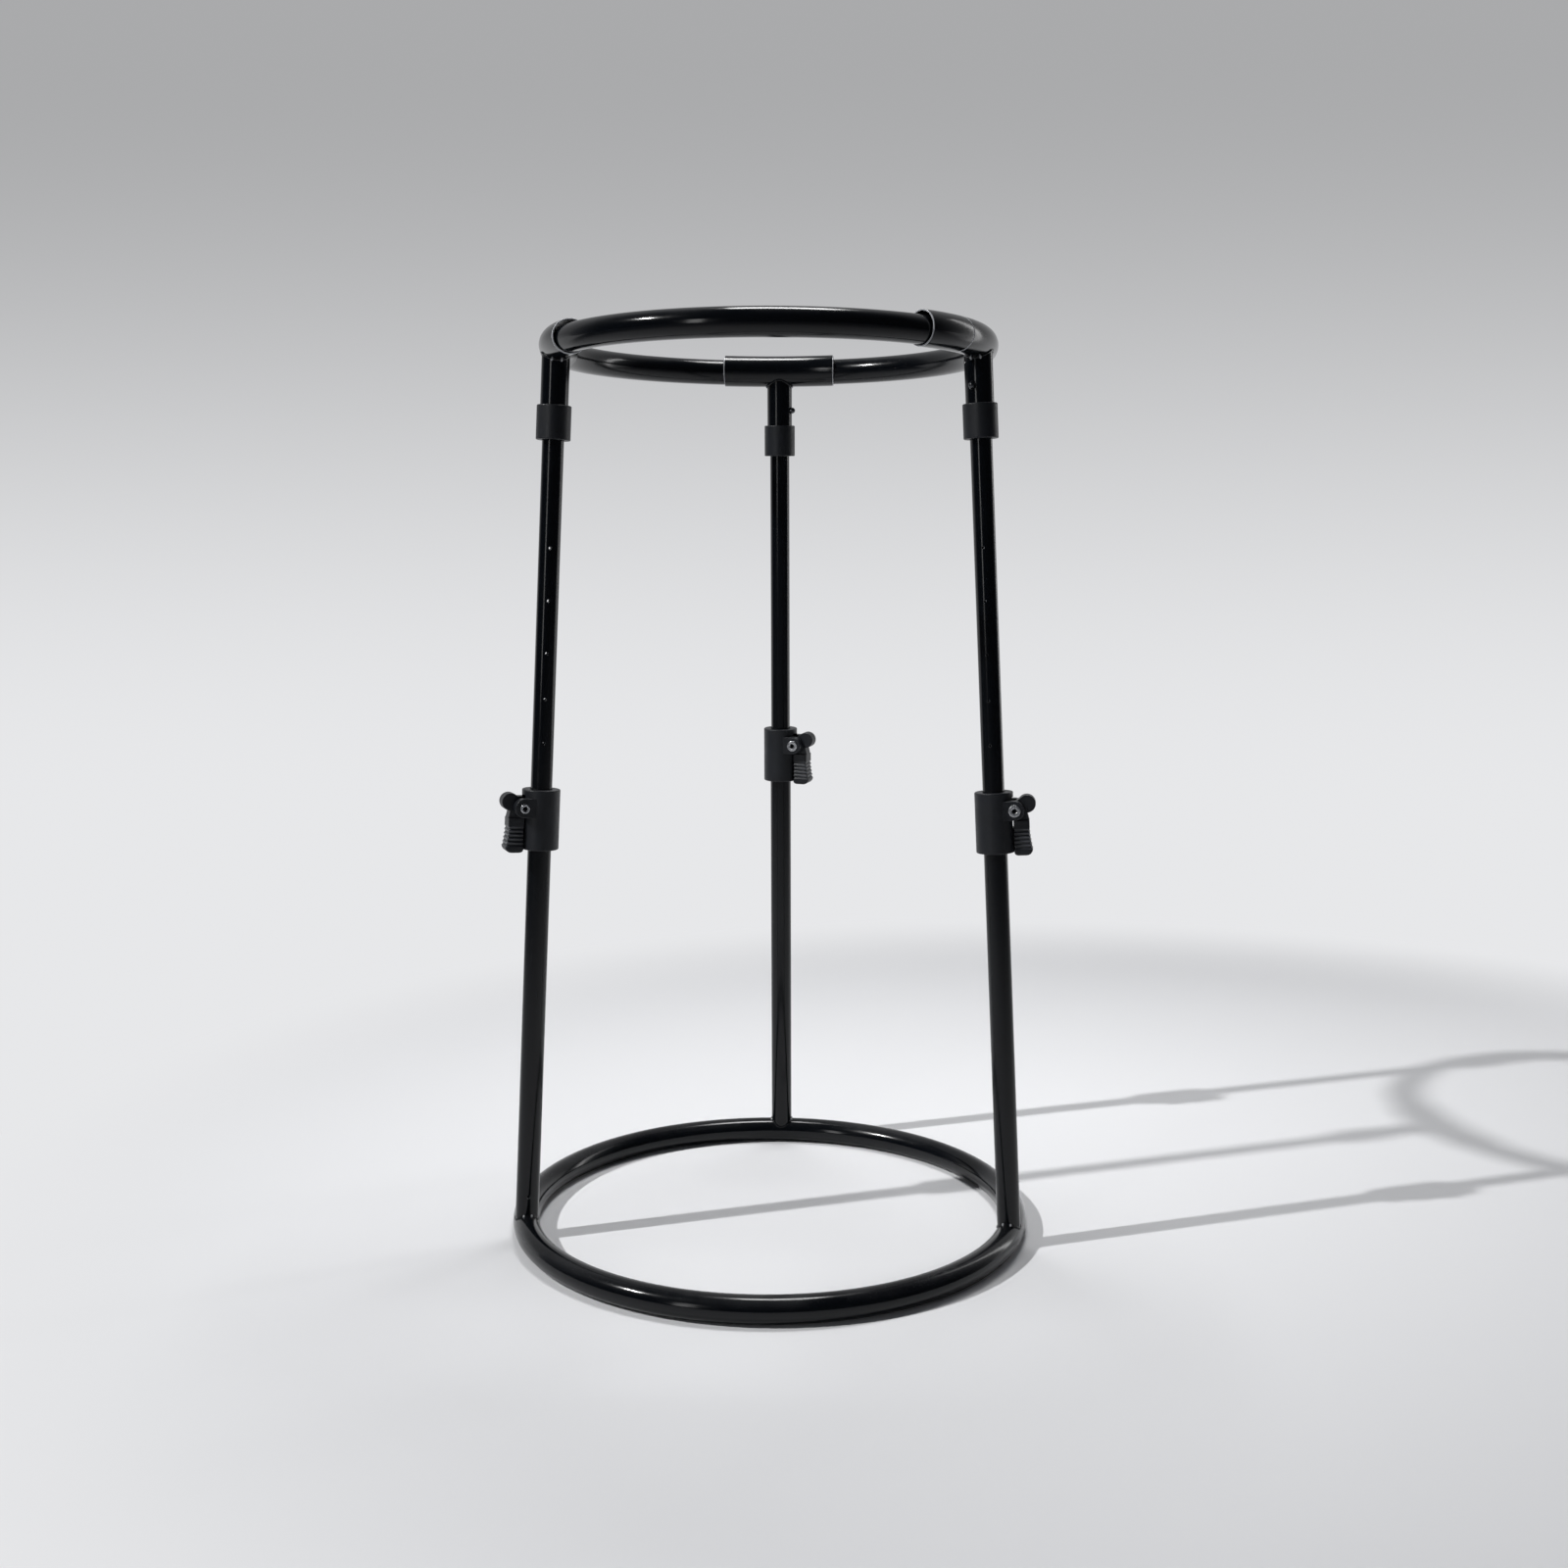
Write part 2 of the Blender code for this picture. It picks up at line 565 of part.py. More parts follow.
def make_clamp_body(side, leg):
    """A moulded collar with two ears, a slot for the lever and a split below it."""
    frame = clamp_frame(side)
    outer_r = CLAMP_D / 2
    top = PIN_DROP
    foot = top - CLAMP_HEIGHT
    neck = top - CLAMP_NECK
    outline = [(0.0, top), (outer_r - CLAMP_EDGE, top),
               (outer_r - CLAMP_EDGE * 0.3, top - CLAMP_EDGE * 0.3),
               (outer_r, top - CLAMP_EDGE), (outer_r, foot + CLAMP_EDGE),
               (outer_r - CLAMP_EDGE * 0.3, foot + CLAMP_EDGE * 0.3),
               (outer_r - CLAMP_EDGE, foot), (0.0, foot)]
    mesh = solid_mesh("clamp_body", outline, ROUND_STEPS)
    body = add_part(f"clamp_body_{side}", mesh, "black_plastic", leg, frame)

    ear = [(EAR_ROOT, EAR_R)] + arc_points((PIN_OFFSET, 0.0), EAR_R, 90.0, -90.0, 13)
    ear += [(EAR_ROOT, -EAR_R)]
    ears = add_cutter(f"ears_{side}", outline_mesh("ears", ear, EAR_SPAN / 2), leg, frame)
    boolean(body, ears, "UNION")
    wide = LOWER_TUBE_D / 2 + GAP
    narrow = UPPER_TUBE_D / 2 + GAP
    bore = solid_mesh("bore", [(0.0, foot - GAP), (wide, foot - GAP), (wide, neck), (narrow, neck),
                               (narrow, top + GAP), (0.0, top + GAP)], ROUND_STEPS)
    boolean(body, add_cutter(f"bore_{side}", bore, leg, frame), "DIFFERENCE")

    floor = PIN_OFFSET - HUB_R - GAP
    slot = box_mesh("lever_slot", (floor, -LEVER_SLOT / 2, -SLOT_DROP),
                    (PIN_OFFSET + 2 * EAR_R, LEVER_SLOT / 2, slot_top()))
    boolean(body, add_cutter(f"lever_slot_{side}", slot, leg, frame), "DIFFERENCE")
    inside = UPPER_TUBE_D / 2 - GAP
    window = box_mesh("pad_window", (inside, -WINDOW_SIZE / 2, -WINDOW_SIZE / 2),
                      (floor + GAP, WINDOW_SIZE / 2, WINDOW_SIZE / 2))
    boolean(body, add_cutter(f"pad_window_{side}", window, leg, frame), "DIFFERENCE")
    split = box_mesh("split", (inside, -CLAMP_SPLIT / 2, foot - GAP),
                     (CLAMP_D, CLAMP_SPLIT / 2, -SLOT_DROP + GAP))
    boolean(body, add_cutter(f"split_{side}", split, leg, frame), "DIFFERENCE")
    hole = rod_mesh("pin_hole", PIN_D / 2 + GAP, -EAR_SPAN, EAR_SPAN, 2 * HOLE_STEPS)
    boolean(body, add_cutter(f"pin_hole_{side}", hole, leg, frame @ across(PIN_OFFSET, 0.0)),
            "DIFFERENCE")


def make_lever_pin(side, leg):
    """A tubular rivet with a rolled head at each end."""
    end = EAR_SPAN / 2 + GAP
    shaft_r = PIN_D / 2
    edge = PIN_HEAD / 2
    outline = [(PIN_HOLE_D / 2, end + PIN_HEAD)]
    for face, head_r in ((end, PIN_HEAD_D / 2), (-end, PIN_FLARE_D / 2)):
        way = math.copysign(1.0, face)
        rim = [(head_r - edge, face + way * PIN_HEAD), (head_r, face + way * edge), (head_r, face),
               (shaft_r, face)]
        outline += rim if way > 0 else rim[::-1]
    outline += [(PIN_HOLE_D / 2, -end - PIN_HEAD)]
    add_part(f"lever_pin_{side}", turned_mesh("lever_pin", outline, 2 * HOLE_STEPS), "zinc", leg,
             clamp_frame(side) @ across(PIN_OFFSET, 0.0))


def paddle_face(height):
    """The paddle's outer face: a shallow hollow that flares to the end, with ribs across it."""
    depth = (PADDLE_TOP - height) / (PADDLE_TOP - PADDLE_END)
    face = PADDLE_WAIST + PADDLE_FLARE * (1.6 * depth * depth - 0.35 * depth)
    along = (RIB_TOP - height) / RIB_PITCH
    if 0.0 < along < RIB_COUNT:
        face -= RIB_DEPTH * 0.5 * (1.0 - math.cos(math.tau * along))
    return face


def make_lever(side, leg):
    """A cam lever: hub on the pin, round head, and a ribbed paddle that lies along the clamp."""
    head = (HEAD_OUT, HEAD_UP)
    shoulder = lever_spread() + SHOULDER_TURN
    blade = arc_points(head, HEAD_R, shoulder, -88.0, 17)
    blade += [(PADDLE_WAIST, PADDLE_TOP - GAP), (LEVER_BACK, PADDLE_TOP - GAP)]
    blade += arc_points((0.0, 0.0), HUB_R, 270.0, shoulder, 13)
    frame = clamp_frame(side) @ Matrix.Translation((PIN_OFFSET, 0, 0))
    lever = add_part(f"clamp_lever_{side}", outline_mesh("lever", blade, LEVER_SLOT / 2 - GAP),
                     "black_plastic", leg, frame)

    stop = PADDLE_END + PADDLE_END_R
    count = RIB_COUNT * 6 + 4
    heights = [PADDLE_TOP + (stop - PADDLE_TOP) * i / count for i in range(count + 1)]
    face = [(paddle_face(height), height) for height in heights]
    end_centre = (face[-1][0] - PADDLE_END_R, stop)
    heel = (LEVER_BACK + PADDLE_HEEL_R, PADDLE_END + PADDLE_HEEL_R)
    outline = face + arc_points(end_centre, PADDLE_END_R, 0.0, -90.0, 7)[1:]
    outline += arc_points(heel, PADDLE_HEEL_R, -90.0, -180.0, 5)
    outline += [(LEVER_BACK, PADDLE_TOP)]
    paddle = add_cutter(f"paddle_{side}", outline_mesh("paddle", outline, PADDLE_WIDTH / 2), leg, frame)
    boolean(lever, paddle, "UNION")
    hole = rod_mesh("lever_hole", PIN_D / 2 + GAP, -LEVER_SLOT, LEVER_SLOT, 2 * HOLE_STEPS)
    boolean(lever, add_cutter(f"lever_hole_{side}", hole, leg, frame @ across(0.0, 0.0)), "DIFFERENCE")


def make_pad(side, leg):
    """A shoe between the lever's hub and the upper tube, hollowed to the tube."""
    half = WINDOW_SIZE / 2 - GAP
    outer = PIN_OFFSET - HUB_R - GAP
    frame = clamp_frame(side)
    mesh = box_mesh("pad", (UPPER_TUBE_D / 2 - GAP, -half, -half), (outer, half, half))
    pad = add_part(f"clamp_pad_{side}", mesh, "nylon", leg, frame)
    relief = rod_mesh("pad_relief", UPPER_TUBE_D / 2 + GAP, -WINDOW_SIZE, WINDOW_SIZE, TUBE_STEPS)
    boolean(pad, add_cutter(f"pad_relief_{side}", relief, leg, frame), "DIFFERENCE")


def main():
    clear_scene()
    make_materials()
    make_base_ring()
    make_top_ring()
    make_splice()
    cope_mesh = ring_mesh("cope", BASE_RING_D / 2, (RING_TUBE_D / 2 + GAP,), 0.0, 360.0, RING_STEPS)
    cope = add_cutter("cope", cope_mesh, None, Matrix.Translation((0, 0, RING_TUBE_D / 2)))
    for side in LEG_AZIMUTHS:
        leg = leg_empty(side)
        make_lower_tube(side, leg, cope)
        make_clamp_body(side, leg)
        make_lever_pin(side, leg)
        make_lever(side, leg)
        make_pad(side, leg)
        make_upper_tube(side, leg)
        make_end_plug(side, leg)
        make_collar(side, leg)
        make_snap_button(side, leg)
        make_button_spring(side, leg)
        make_tee(side, leg)
    bpy.context.view_layer.update()


main()
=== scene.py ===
import math

import bmesh
import bpy
import numpy as np
from bpy.props import FloatProperty, FloatVectorProperty, IntProperty, PointerProperty
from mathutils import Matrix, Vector


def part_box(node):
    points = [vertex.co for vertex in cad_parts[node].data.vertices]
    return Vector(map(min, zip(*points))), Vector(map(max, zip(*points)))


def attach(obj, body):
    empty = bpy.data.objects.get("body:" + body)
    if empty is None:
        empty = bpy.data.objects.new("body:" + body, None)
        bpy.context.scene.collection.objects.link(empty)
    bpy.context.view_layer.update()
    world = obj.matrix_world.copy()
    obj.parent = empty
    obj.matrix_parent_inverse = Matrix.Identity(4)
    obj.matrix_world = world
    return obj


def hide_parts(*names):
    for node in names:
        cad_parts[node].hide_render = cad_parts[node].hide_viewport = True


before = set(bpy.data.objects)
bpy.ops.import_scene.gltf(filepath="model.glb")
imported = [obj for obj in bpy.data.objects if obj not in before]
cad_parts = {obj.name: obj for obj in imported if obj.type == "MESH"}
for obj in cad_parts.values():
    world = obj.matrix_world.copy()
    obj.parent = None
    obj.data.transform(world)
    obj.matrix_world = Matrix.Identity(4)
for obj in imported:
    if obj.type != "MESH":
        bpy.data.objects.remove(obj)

bl_info = {
    "name": "Adjustable Drum Stand",
    "version": (1, 0, 0),
    "blender": (4, 5, 0),
    "location": "View3D > Sidebar > Drum Stand",
    "description": "Dresses the packed drum stand with smooth surfaces, finishes and a studio",
    "category": "Add Mesh",
}

MM = 0.001
SIDES = ("rear", "right", "left")
BASE_LOW, BASE_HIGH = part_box("base_ring")
RING_LOW, RING_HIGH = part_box("top_ring")
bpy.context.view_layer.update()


def length(name, description, default, soft_max=1.0):
    return FloatProperty(name=name, description=description, default=default, min=0.0,
                         soft_max=soft_max, unit="LENGTH", precision=5)


def angle(name, description, degrees):
    return FloatProperty(name=name, description=description, default=math.radians(degrees),
                         subtype="ANGLE")


def share(name, description, default):
    return FloatProperty(name=name, description=description, default=default, min=0.0, max=1.0,
                         subtype="FACTOR")


def colour(name, description, default):
    return FloatVectorProperty(name=name, description=description, default=default, size=3,
                               min=0.0, max=1.0, subtype="COLOR")


class DrumStandRings(bpy.types.PropertyGroup):
    tube: length("Ring tube", "Outer diameter of the ring tube", BASE_HIGH[2] - BASE_LOW[2])
    base: length("Base ring", "Diameter of the base ring's centre line",
                 BASE_HIGH[0] - BASE_LOW[0] - (BASE_HIGH[2] - BASE_LOW[2]))
    top: length("Top ring", "Diameter of the top ring's centre line", 397.4 * MM)
    top_height: length("Top ring height", "Height of the top ring's centre line",
                       (RING_LOW[2] + RING_HIGH[2]) / 2)
    sleeve: length("Sleeve", "Outer diameter of the bent sleeves", 31.5 * MM)
    sleeve_wall: length("Sleeve wall", "Wall of the bent sleeves", 1.35 * MM)
    sleeve_length: length("Tee length", "Length of a tee between its parallel ends", 114.0 * MM)
    splice: angle("Splice angle", "Part of the ring that the splice covers past the tee", 15.0)
    stub: length("Stub", "Outer diameter of a tee's stub", 26.0 * MM)
    stub_wall: length("Stub wall", "Wall of a tee's stub", 1.2 * MM)
    bead: length("Weld bead", "Radius of the weld beads", 1.15 * MM)


class DrumStandLegs(bpy.types.PropertyGroup):
    right: angle("Right leg", "Azimuth of the right leg from the rear leg", 104.2)
    left: angle("Left leg", "Azimuth of the left leg from the rear leg", -104.2)
    gap: length("Gap", "Clearance between pieces that touch", 0.3 * MM)
    lower: length("Lower tube", "Outer diameter of the lower tubes", 22.2 * MM)
    lower_wall: length("Lower wall", "Wall of the lower tubes", 0.65 * MM)
    upper: length("Upper tube", "Outer diameter of the upper tubes", 20.3 * MM)
    upper_wall: length("Upper wall", "Wall of the upper tubes", 0.9 * MM)
    upper_bottom: length("Upper foot", "Lower end of the upper tube along the leg", 306.0 * MM)
    upper_top: length("Upper end", "Upper end of the upper tube along the leg", 814.5 * MM)
    index_top: length("Top index hole", "Highest index hole along the leg", 654.5 * MM)
    index_hole: length("Index hole", "Diameter of the index holes", 2.6 * MM)
    vent: length("Vent", "Diameter of the vent near the foot", 3.2 * MM)
    vent_height: length("Vent height", "Height of the vent along the leg", 32.0 * MM)
    collar: length("Collar", "Outer diameter of a collar", 32.0 * MM)
    collar_bottom: length("Collar foot", "Lower end of a collar along the leg", 753.3 * MM)
    collar_height: length("Collar height", "Height of a collar", 31.6 * MM)
    collar_seat: length("Collar seat", "Height of the seat for the stub", 13.0 * MM)
    collar_play: length("Collar play", "Clearance between the skirt and the stub", 1.1 * MM)
    button: length("Button", "Diameter of a snap button", 6.0 * MM)
    button_height: length("Button height", "Height of the snap buttons along the leg", 800.5 * MM)
    button_turn: angle("Button turn", "Direction of the snap buttons about the leg", -108.0)
    button_play: length("Button play", "Clearance around a snap button", 0.8 * MM)
    button_proud: length("Button stand", "How far a snap button stands out of its stub", 4.3 * MM)


class DrumStandClamps(bpy.types.PropertyGroup):
    body: length("Clamp", "Outer diameter of a clamp", 36.0 * MM)
    height: length("Clamp height", "Height of a clamp", 57.0 * MM)
    edge: length("Clamp edge", "Rounding of a clamp's rims", 0.9 * MM)
    neck: length("Neck", "Part of a clamp that is bored for the upper tube", 27.0 * MM)
    split: length("Split", "Width of the split", 1.6 * MM)
    rear_bottom: length("Rear clamp", "Foot of the rear clamp along the leg", 404.5 * MM)
    near_bottom: length("Near clamps", "Foot of the two near clamps along the leg", 371.5 * MM)
    rear_turn: angle("Rear turn", "Turn of the rear clamp about its leg", -107.0)
    right_turn: angle("Right turn", "Turn of the right clamp about its leg", 8.5)
    left_turn: angle("Left turn", "Turn of the left clamp about its leg", 11.0)
    pin_drop: length("Pin drop", "Pin below the top of the clamp", 16.8 * MM)
    pin_offset: length("Pin offset", "Pin from the leg's axis", 19.0 * MM)
    ear: length("Ear", "Radius of the ears", 9.0 * MM)
    ear_span: length("Ear span", "Width across both ears", 32.0 * MM)
    ear_root: length("Ear root", "Inner end of the ears from the leg's axis", 5.0 * MM)
    slot: length("Lever slot", "Width of the slot between the ears", 13.4 * MM)
    slot_drop: length("Slot drop", "Depth of the slot below the pin", 17.0 * MM)
    window: length("Pad window", "Size of the opening for the pad", 8.4 * MM)
    pin: length("Pin", "Diameter of the lever pin", 6.4 * MM)
    pin_bore: length("Pin bore", "Bore of the tubular pin", 4.4 * MM)
    pin_head: length("Pin head", "Diameter of the pin's rolled head", 9.0 * MM)
    pin_flare: length("Pin flare", "Diameter of the pin's other head", 11.4 * MM)
    hub: length("Hub", "Radius of the lever's hub", 5.6 * MM)
    head: length("Head", "Radius of the lever's round head", 8.3 * MM)
    head_out: length("Head outwards", "Head's distance from the pin, outwards", 11.4 * MM)
    head_up: length("Head up", "Head's height above the pin", 5.2 * MM)
    shoulder: angle("Shoulder", "Turn from the line of pin and head to the lever's shoulder", 115.0)
    lever_open: angle("Lever open", "How far a lever swings out", 28.0)
    paddle_width: length("Paddle width", "Width of the paddle", 17.4 * MM)
    paddle_length: length("Paddle length", "Lower end of the paddle below the pin", 43.0 * MM)
    paddle_drop: length("Paddle drop", "Upper end of the paddle below the pin", 10.2 * MM)
    paddle_back: length("Paddle back", "Inner face of the paddle, outwards from the pin", 0.3 * MM)
    paddle_waist: length("Paddle waist", "Outer face of the paddle at its hollow", 13.4 * MM)
    paddle_flare: length("Paddle flare", "How far the paddle's end stands out of its hollow", 3.2 * MM)
    rib_drop: length("Rib drop", "Upper end of the grip ribs below the pin", 18.0 * MM)
    ribs: IntProperty(name="Ribs", description="Number of grip ribs", default=5, min=0, max=12)
    rib_pitch: length("Rib pitch", "Distance between grip ribs", 3.85 * MM)
    rib_depth: length("Rib depth", "Depth of the hollows between grip ribs", 0.9 * MM)


class DrumStandFinishes(bpy.types.PropertyGroup):
    enamel: colour("Enamel", "Gloss black enamel on all tubes", (0.0018, 0.0025, 0.0037))
    enamel_gloss: share("Enamel roughness", "Roughness of the enamel", 0.13)
    # Pale colour of the marked rims: worn enamel on cut ends with a painted highlight on top.
    rim: colour("Cut rim", "Thin enamel on cut ends, where light metal shows", (0.60, 0.61, 0.64))
    plastic: colour("Black plastic", "Moulded black plastic", (0.0074, 0.0088, 0.0118))
    plastic_gloss: share("Plastic roughness", "Roughness of the plastic", 0.46)
    # Rib crest colour: rubbed wear with a painted highlight on top.
    rubbed_and_highlight: colour("Rubbed plastic", "Crests of the grip ribs", (0.085, 0.090, 0.102))
    zinc: colour("Zinc", "Plated rivets", (0.55, 0.56, 0.58))
    button: colour("Button", "Blackened metal of the snap buttons", (0.085, 0.088, 0.095))
    nylon: colour("Nylon", "Plugs and pads inside the legs", (0.035, 0.035, 0.038))
    spring: colour("Spring steel", "Leaf springs inside the legs", (0.42, 0.42, 0.43))


class DrumStandStage(bpy.types.PropertyGroup):
    floor: colour("Floor", "Floor and backdrop", (0.80, 0.805, 0.82))
    camera_x: FloatProperty(name="Camera X", description="Camera position", default=0.0948, unit="LENGTH")
    camera_y: FloatProperty(name="Camera Y", description="Camera position", default=-1.6700, unit="LENGTH")
    camera_z: FloatProperty(name="Camera Z", description="Camera position", default=0.6543, unit="LENGTH")
    camera_turn: angle("Camera turn", "Camera heading from +Y towards -X", 2.76)
    camera_dip: angle("Camera dip", "Camera pitch below the horizon", 7.31)
    lens: FloatProperty(name="Lens", description="Focal length in millimetres", default=39.88)
    key_power: FloatProperty(name="Key light", description="Power of the far light that casts the shadows",
                             default=16.2, unit="POWER")
    pool_power: FloatProperty(name="Soft light", description="Power of the panel over the stand",
                              default=18.5, unit="POWER")
    strip_power: FloatProperty(name="Strip lights", description="Power of the strip lights", default=3.0,
                               unit="POWER")


GROUPS = {
    "drum_stand_rings": DrumStandRings,
    "drum_stand_legs": DrumStandLegs,
    "drum_stand_clamps": DrumStandClamps,
    "drum_stand_finishes": DrumStandFinishes,
    "drum_stand_stage": DrumStandStage,
}


def sizes():
    scene = bpy.context.scene
    return scene.drum_stand_rings, scene.drum_stand_legs, scene.drum_stand_clamps


# Frames

def about_z(turn):
    """Rotation by turn about z."""
    c, s = math.cos(turn), math.sin(turn)
    return np.array([[c, -s, 0.0], [s, c, 0.0], [0.0, 0.0, 1.0]])


def about_y(turn):
    """Rotation by turn about y."""
    c, s = math.cos(turn), math.sin(turn)
    return np.array([[c, 0.0, s], [0.0, 1.0, 0.0], [-s, 0.0, c]])


class Frame:
    """A turned frame: world = origin + turn @ local."""

    def __init__(self, origin, turn):
        self.origin = np.asarray(origin, dtype=float)
        self.turn = np.asarray(turn, dtype=float)

    def out(self, points):
        return np.asarray(points) @ self.turn.T + self.origin

    def then(self, origin, turn):
        """A frame given inside this one."""
        return Frame(self.out(origin), self.turn @ turn)


def azimuth(side):
    legs = bpy.context.scene.drum_stand_legs
    return {"rear": 0.0, "right": legs.right, "left": legs.left}[side]


def sleeve_height():
    """The sleeves hang on the ring, so their axis is higher than the ring's."""
    rings, legs, _ = sizes()
    return rings.top_height + rings.sleeve / 2 - rings.sleeve_wall - rings.tube / 2 - legs.gap


def leg_rise():
    rings, _, _ = sizes()
    return (rings.base - rings.top) / 2, sleeve_height() - rings.tube / 2


def leg_frame(side):
    """z up the leaning leg, x away from the stand's middle, origin on the base ring's centre line."""
    rings, _, _ = sizes()
    run, rise = leg_rise()
    heading = about_z(math.pi / 2 - azimuth(side))
    return Frame(heading @ (rings.base / 2, 0.0, rings.tube / 2), heading @ about_y(-math.atan2(run, rise)))


def ring_frame(side):
    """x towards a leg, on the axis of the stand at the height of the sleeves."""
    return Frame((0.0, 0.0, sleeve_height()), about_z(math.pi / 2 - azimuth(side)))


def clamp_bottom(side):
    clamps = bpy.context.scene.drum_stand_clamps
    return clamps.rear_bottom if side == "rear" else clamps.near_bottom


def clamp_frame(side):
    """x at the lever, at the height of the pin."""
    clamps = bpy.context.scene.drum_stand_clamps
    height = clamp_bottom(side) + clamps.height - clamps.pin_drop
    turns = {"rear": clamps.rear_turn, "right": clamps.right_turn, "left": clamps.left_turn}
    return leg_frame(side).then((0.0, 0.0, height), about_z(turns[side]))


ALONG_Y = np.array([[1.0, 0.0, 0.0], [0.0, 0.0, 1.0], [0.0, -1.0, 0.0]])   # local z runs along y
ALONG_X = np.array([[0.0, 0.0, 1.0], [0.0, 1.0, 0.0], [-1.0, 0.0, 0.0]])   # local z runs along x


# Surfaces

def grid_faces(rows, columns, closed_rows=False, closed_columns=True, first=0):
    """Quads of a grid of points that is numbered row by row."""
    i, j = np.meshgrid(np.arange(rows if closed_rows else rows - 1),
                       np.arange(columns if closed_columns else columns - 1), indexing="ij")
    below, beside = (i + 1) % rows, (j + 1) % columns
    quads = np.stack([i * columns + j, i * columns + beside, below * columns + beside,
                      below * columns + j], axis=-1)
    return quads.reshape(-1, 4) + first


def quarter(centre, radius, start, end, steps=4):
    """Points of an arc about centre, from start to end degrees; (along, radius) pairs."""
    turn = np.radians(np.linspace(start, end, steps + 1))
    return np.stack([centre[0] + radius * np.sin(turn), centre[1] + radius * np.cos(turn)], axis=-1)


def supported(points, keep):
    """An outline with a point added near both ends of each long side, so that shading stays flat there."""
    out = []
    count = len(points)
    for index in range(count):
        here, there = points[index], points[(index + 1) % count]
        out.append(here)
        span = np.hypot(*(there - here))
        if span > 4.0 * keep:
            out.append(here + (there - here) * keep / span)
            out.append(there - (there - here) * keep / span)
    return np.array(out)


def wall_outline(low, high, inner, outer, edge):
    """Closed (along, radius) outline of a tube's wall with rounded rims."""
    edge = min(edge, (outer - inner) * 0.49)
    corners = [quarter((high - edge, outer - edge), edge, 0, 90),
               quarter((high - edge, inner + edge), edge, 90, 180),
               quarter((low + edge, inner + edge), edge, 180, 270),
               quarter((low + edge, outer - edge), edge, 270, 360)]
    return supported(np.concatenate(corners), edge)


def turned(outline, sides, place, closed=True):
    """Each (along, radius) point of an outline goes round z: (r cos v, r sin v, along).

    An open outline starts and ends on the axis."""
    outline = np.asarray(outline)
    v = np.arange(sides) * math.tau / sides
    along, radius = outline[:, :1], outline[:, 1:]
    points = np.stack([radius * np.cos(v), radius * np.sin(v), along + 0.0 * v], axis=-1)
    return place.out(points.reshape(-1, 3)), grid_faces(len(outline), sides, closed_rows=closed)


def torus(centre_radius, tube_radius, height, steps, sides):
    """((R + r cos v) cos u, (R + r cos v) sin u, z + r sin v) for u round the stand and v round the tube."""
    u = (np.arange(steps) * math.tau / steps)[:, None]
    v = (np.arange(sides) * math.tau / sides)[None, :]
    reach = centre_radius + tube_radius * np.cos(v)
    points = np.stack([reach * np.cos(u), reach * np.sin(u), height + tube_radius * np.sin(v) + 0.0 * u],
                      axis=-1)
    return points.reshape(-1, 3), grid_faces(steps, sides, closed_rows=True)


def bent_sleeve(place, centre_radius, inner, outer, start, end, edge, steps=28, sides=56):
    """A tube's wall that follows the ring: u runs round the wall's outline, v round the tube.

    start and end give the end angle for each distance from the stand's axis, so that an end may
    be a plane square to the sleeve's middle instead of square to the ring."""
    v = (np.arange(sides) * math.tau / sides)[None, :]
    outline = wall_outline(0.0, 1.0, inner, outer, edge)
    shift = np.where(outline[:, 0] > 0.5, outline[:, 0] - 1.0, outline[:, 0])
    part = np.where(outline[:, 0] > 0.5, 1.0, 0.0)
    rows = []
    for index in range(len(outline)):
        following = (index + 1) % len(outline)
        rows.append((part[index], shift[index], outline[index, 1]))
        if part[index] != part[following]:
            ahead = 1.0 if part[index] < 0.5 else -1.0
            rows.append((part[index], ahead * 2.2 * edge, outline[index, 1]))
            for t in np.linspace(0.0, 1.0, steps + 1)[1:-1]:
                rows.append((part[index] + (part[following] - part[index]) * t, 0.0,
                             outline[index, 1] * (1 - t) + outline[following, 1] * t))
            rows.append((part[following], -ahead * 2.2 * edge, outline[following, 1]))
    rows = np.array(rows)
    share_along, offset, radius = rows[:, :1], rows[:, 1:2], rows[:, 2:]
    reach = centre_radius + radius * np.cos(v)
    phi = start(reach) * (1 - share_along) + end(reach) * share_along + offset / reach
    points = np.stack([reach * np.cos(phi), reach * np.sin(phi), radius * np.sin(v) + 0.0 * phi], axis=-1)
    # lip marks the end rims that the enamel paints pale: worn enamel with a painted highlight.
    lip = np.broadcast_to(np.abs(offset) < edge * 1.4, reach.shape) & np.broadcast_to(
        (share_along < 1e-6) | (share_along > 1 - 1e-6), reach.shape)
    return place.out(points.reshape(-1, 3)), grid_faces(len(rows), sides, closed_rows=True), lip.ravel()


def seat_height(place, radius, v, centre_radius, tube_radius, centre_height, upper):
    """How far up a leaning tube each of its lines meets the skin of a ring.

    The point at angle v on the tube is raised until z = zc +- sqrt(r^2 - (rho - R)^2), where rho is
    its distance from the stand's axis; six rounds of that settle it."""
    sign = 1.0 if upper else -1.0
    circle = np.stack([radius * np.cos(v), radius * np.sin(v), 0.0 * v], axis=-1)
    rise = place.turn[2, 2]
    height = np.full(v.shape, (centre_height - place.origin[2]) / rise)
    for _ in range(6):
        world = place.out(circle + np.stack([0.0 * v, 0.0 * v, height], axis=-1))
        aside = np.hypot(world[:, 0], world[:, 1]) - centre_radius
        skin = centre_height + sign * np.sqrt(np.maximum(tube_radius ** 2 - aside ** 2, 0.0))
        height = height + (skin - world[:, 2]) / rise
    return height


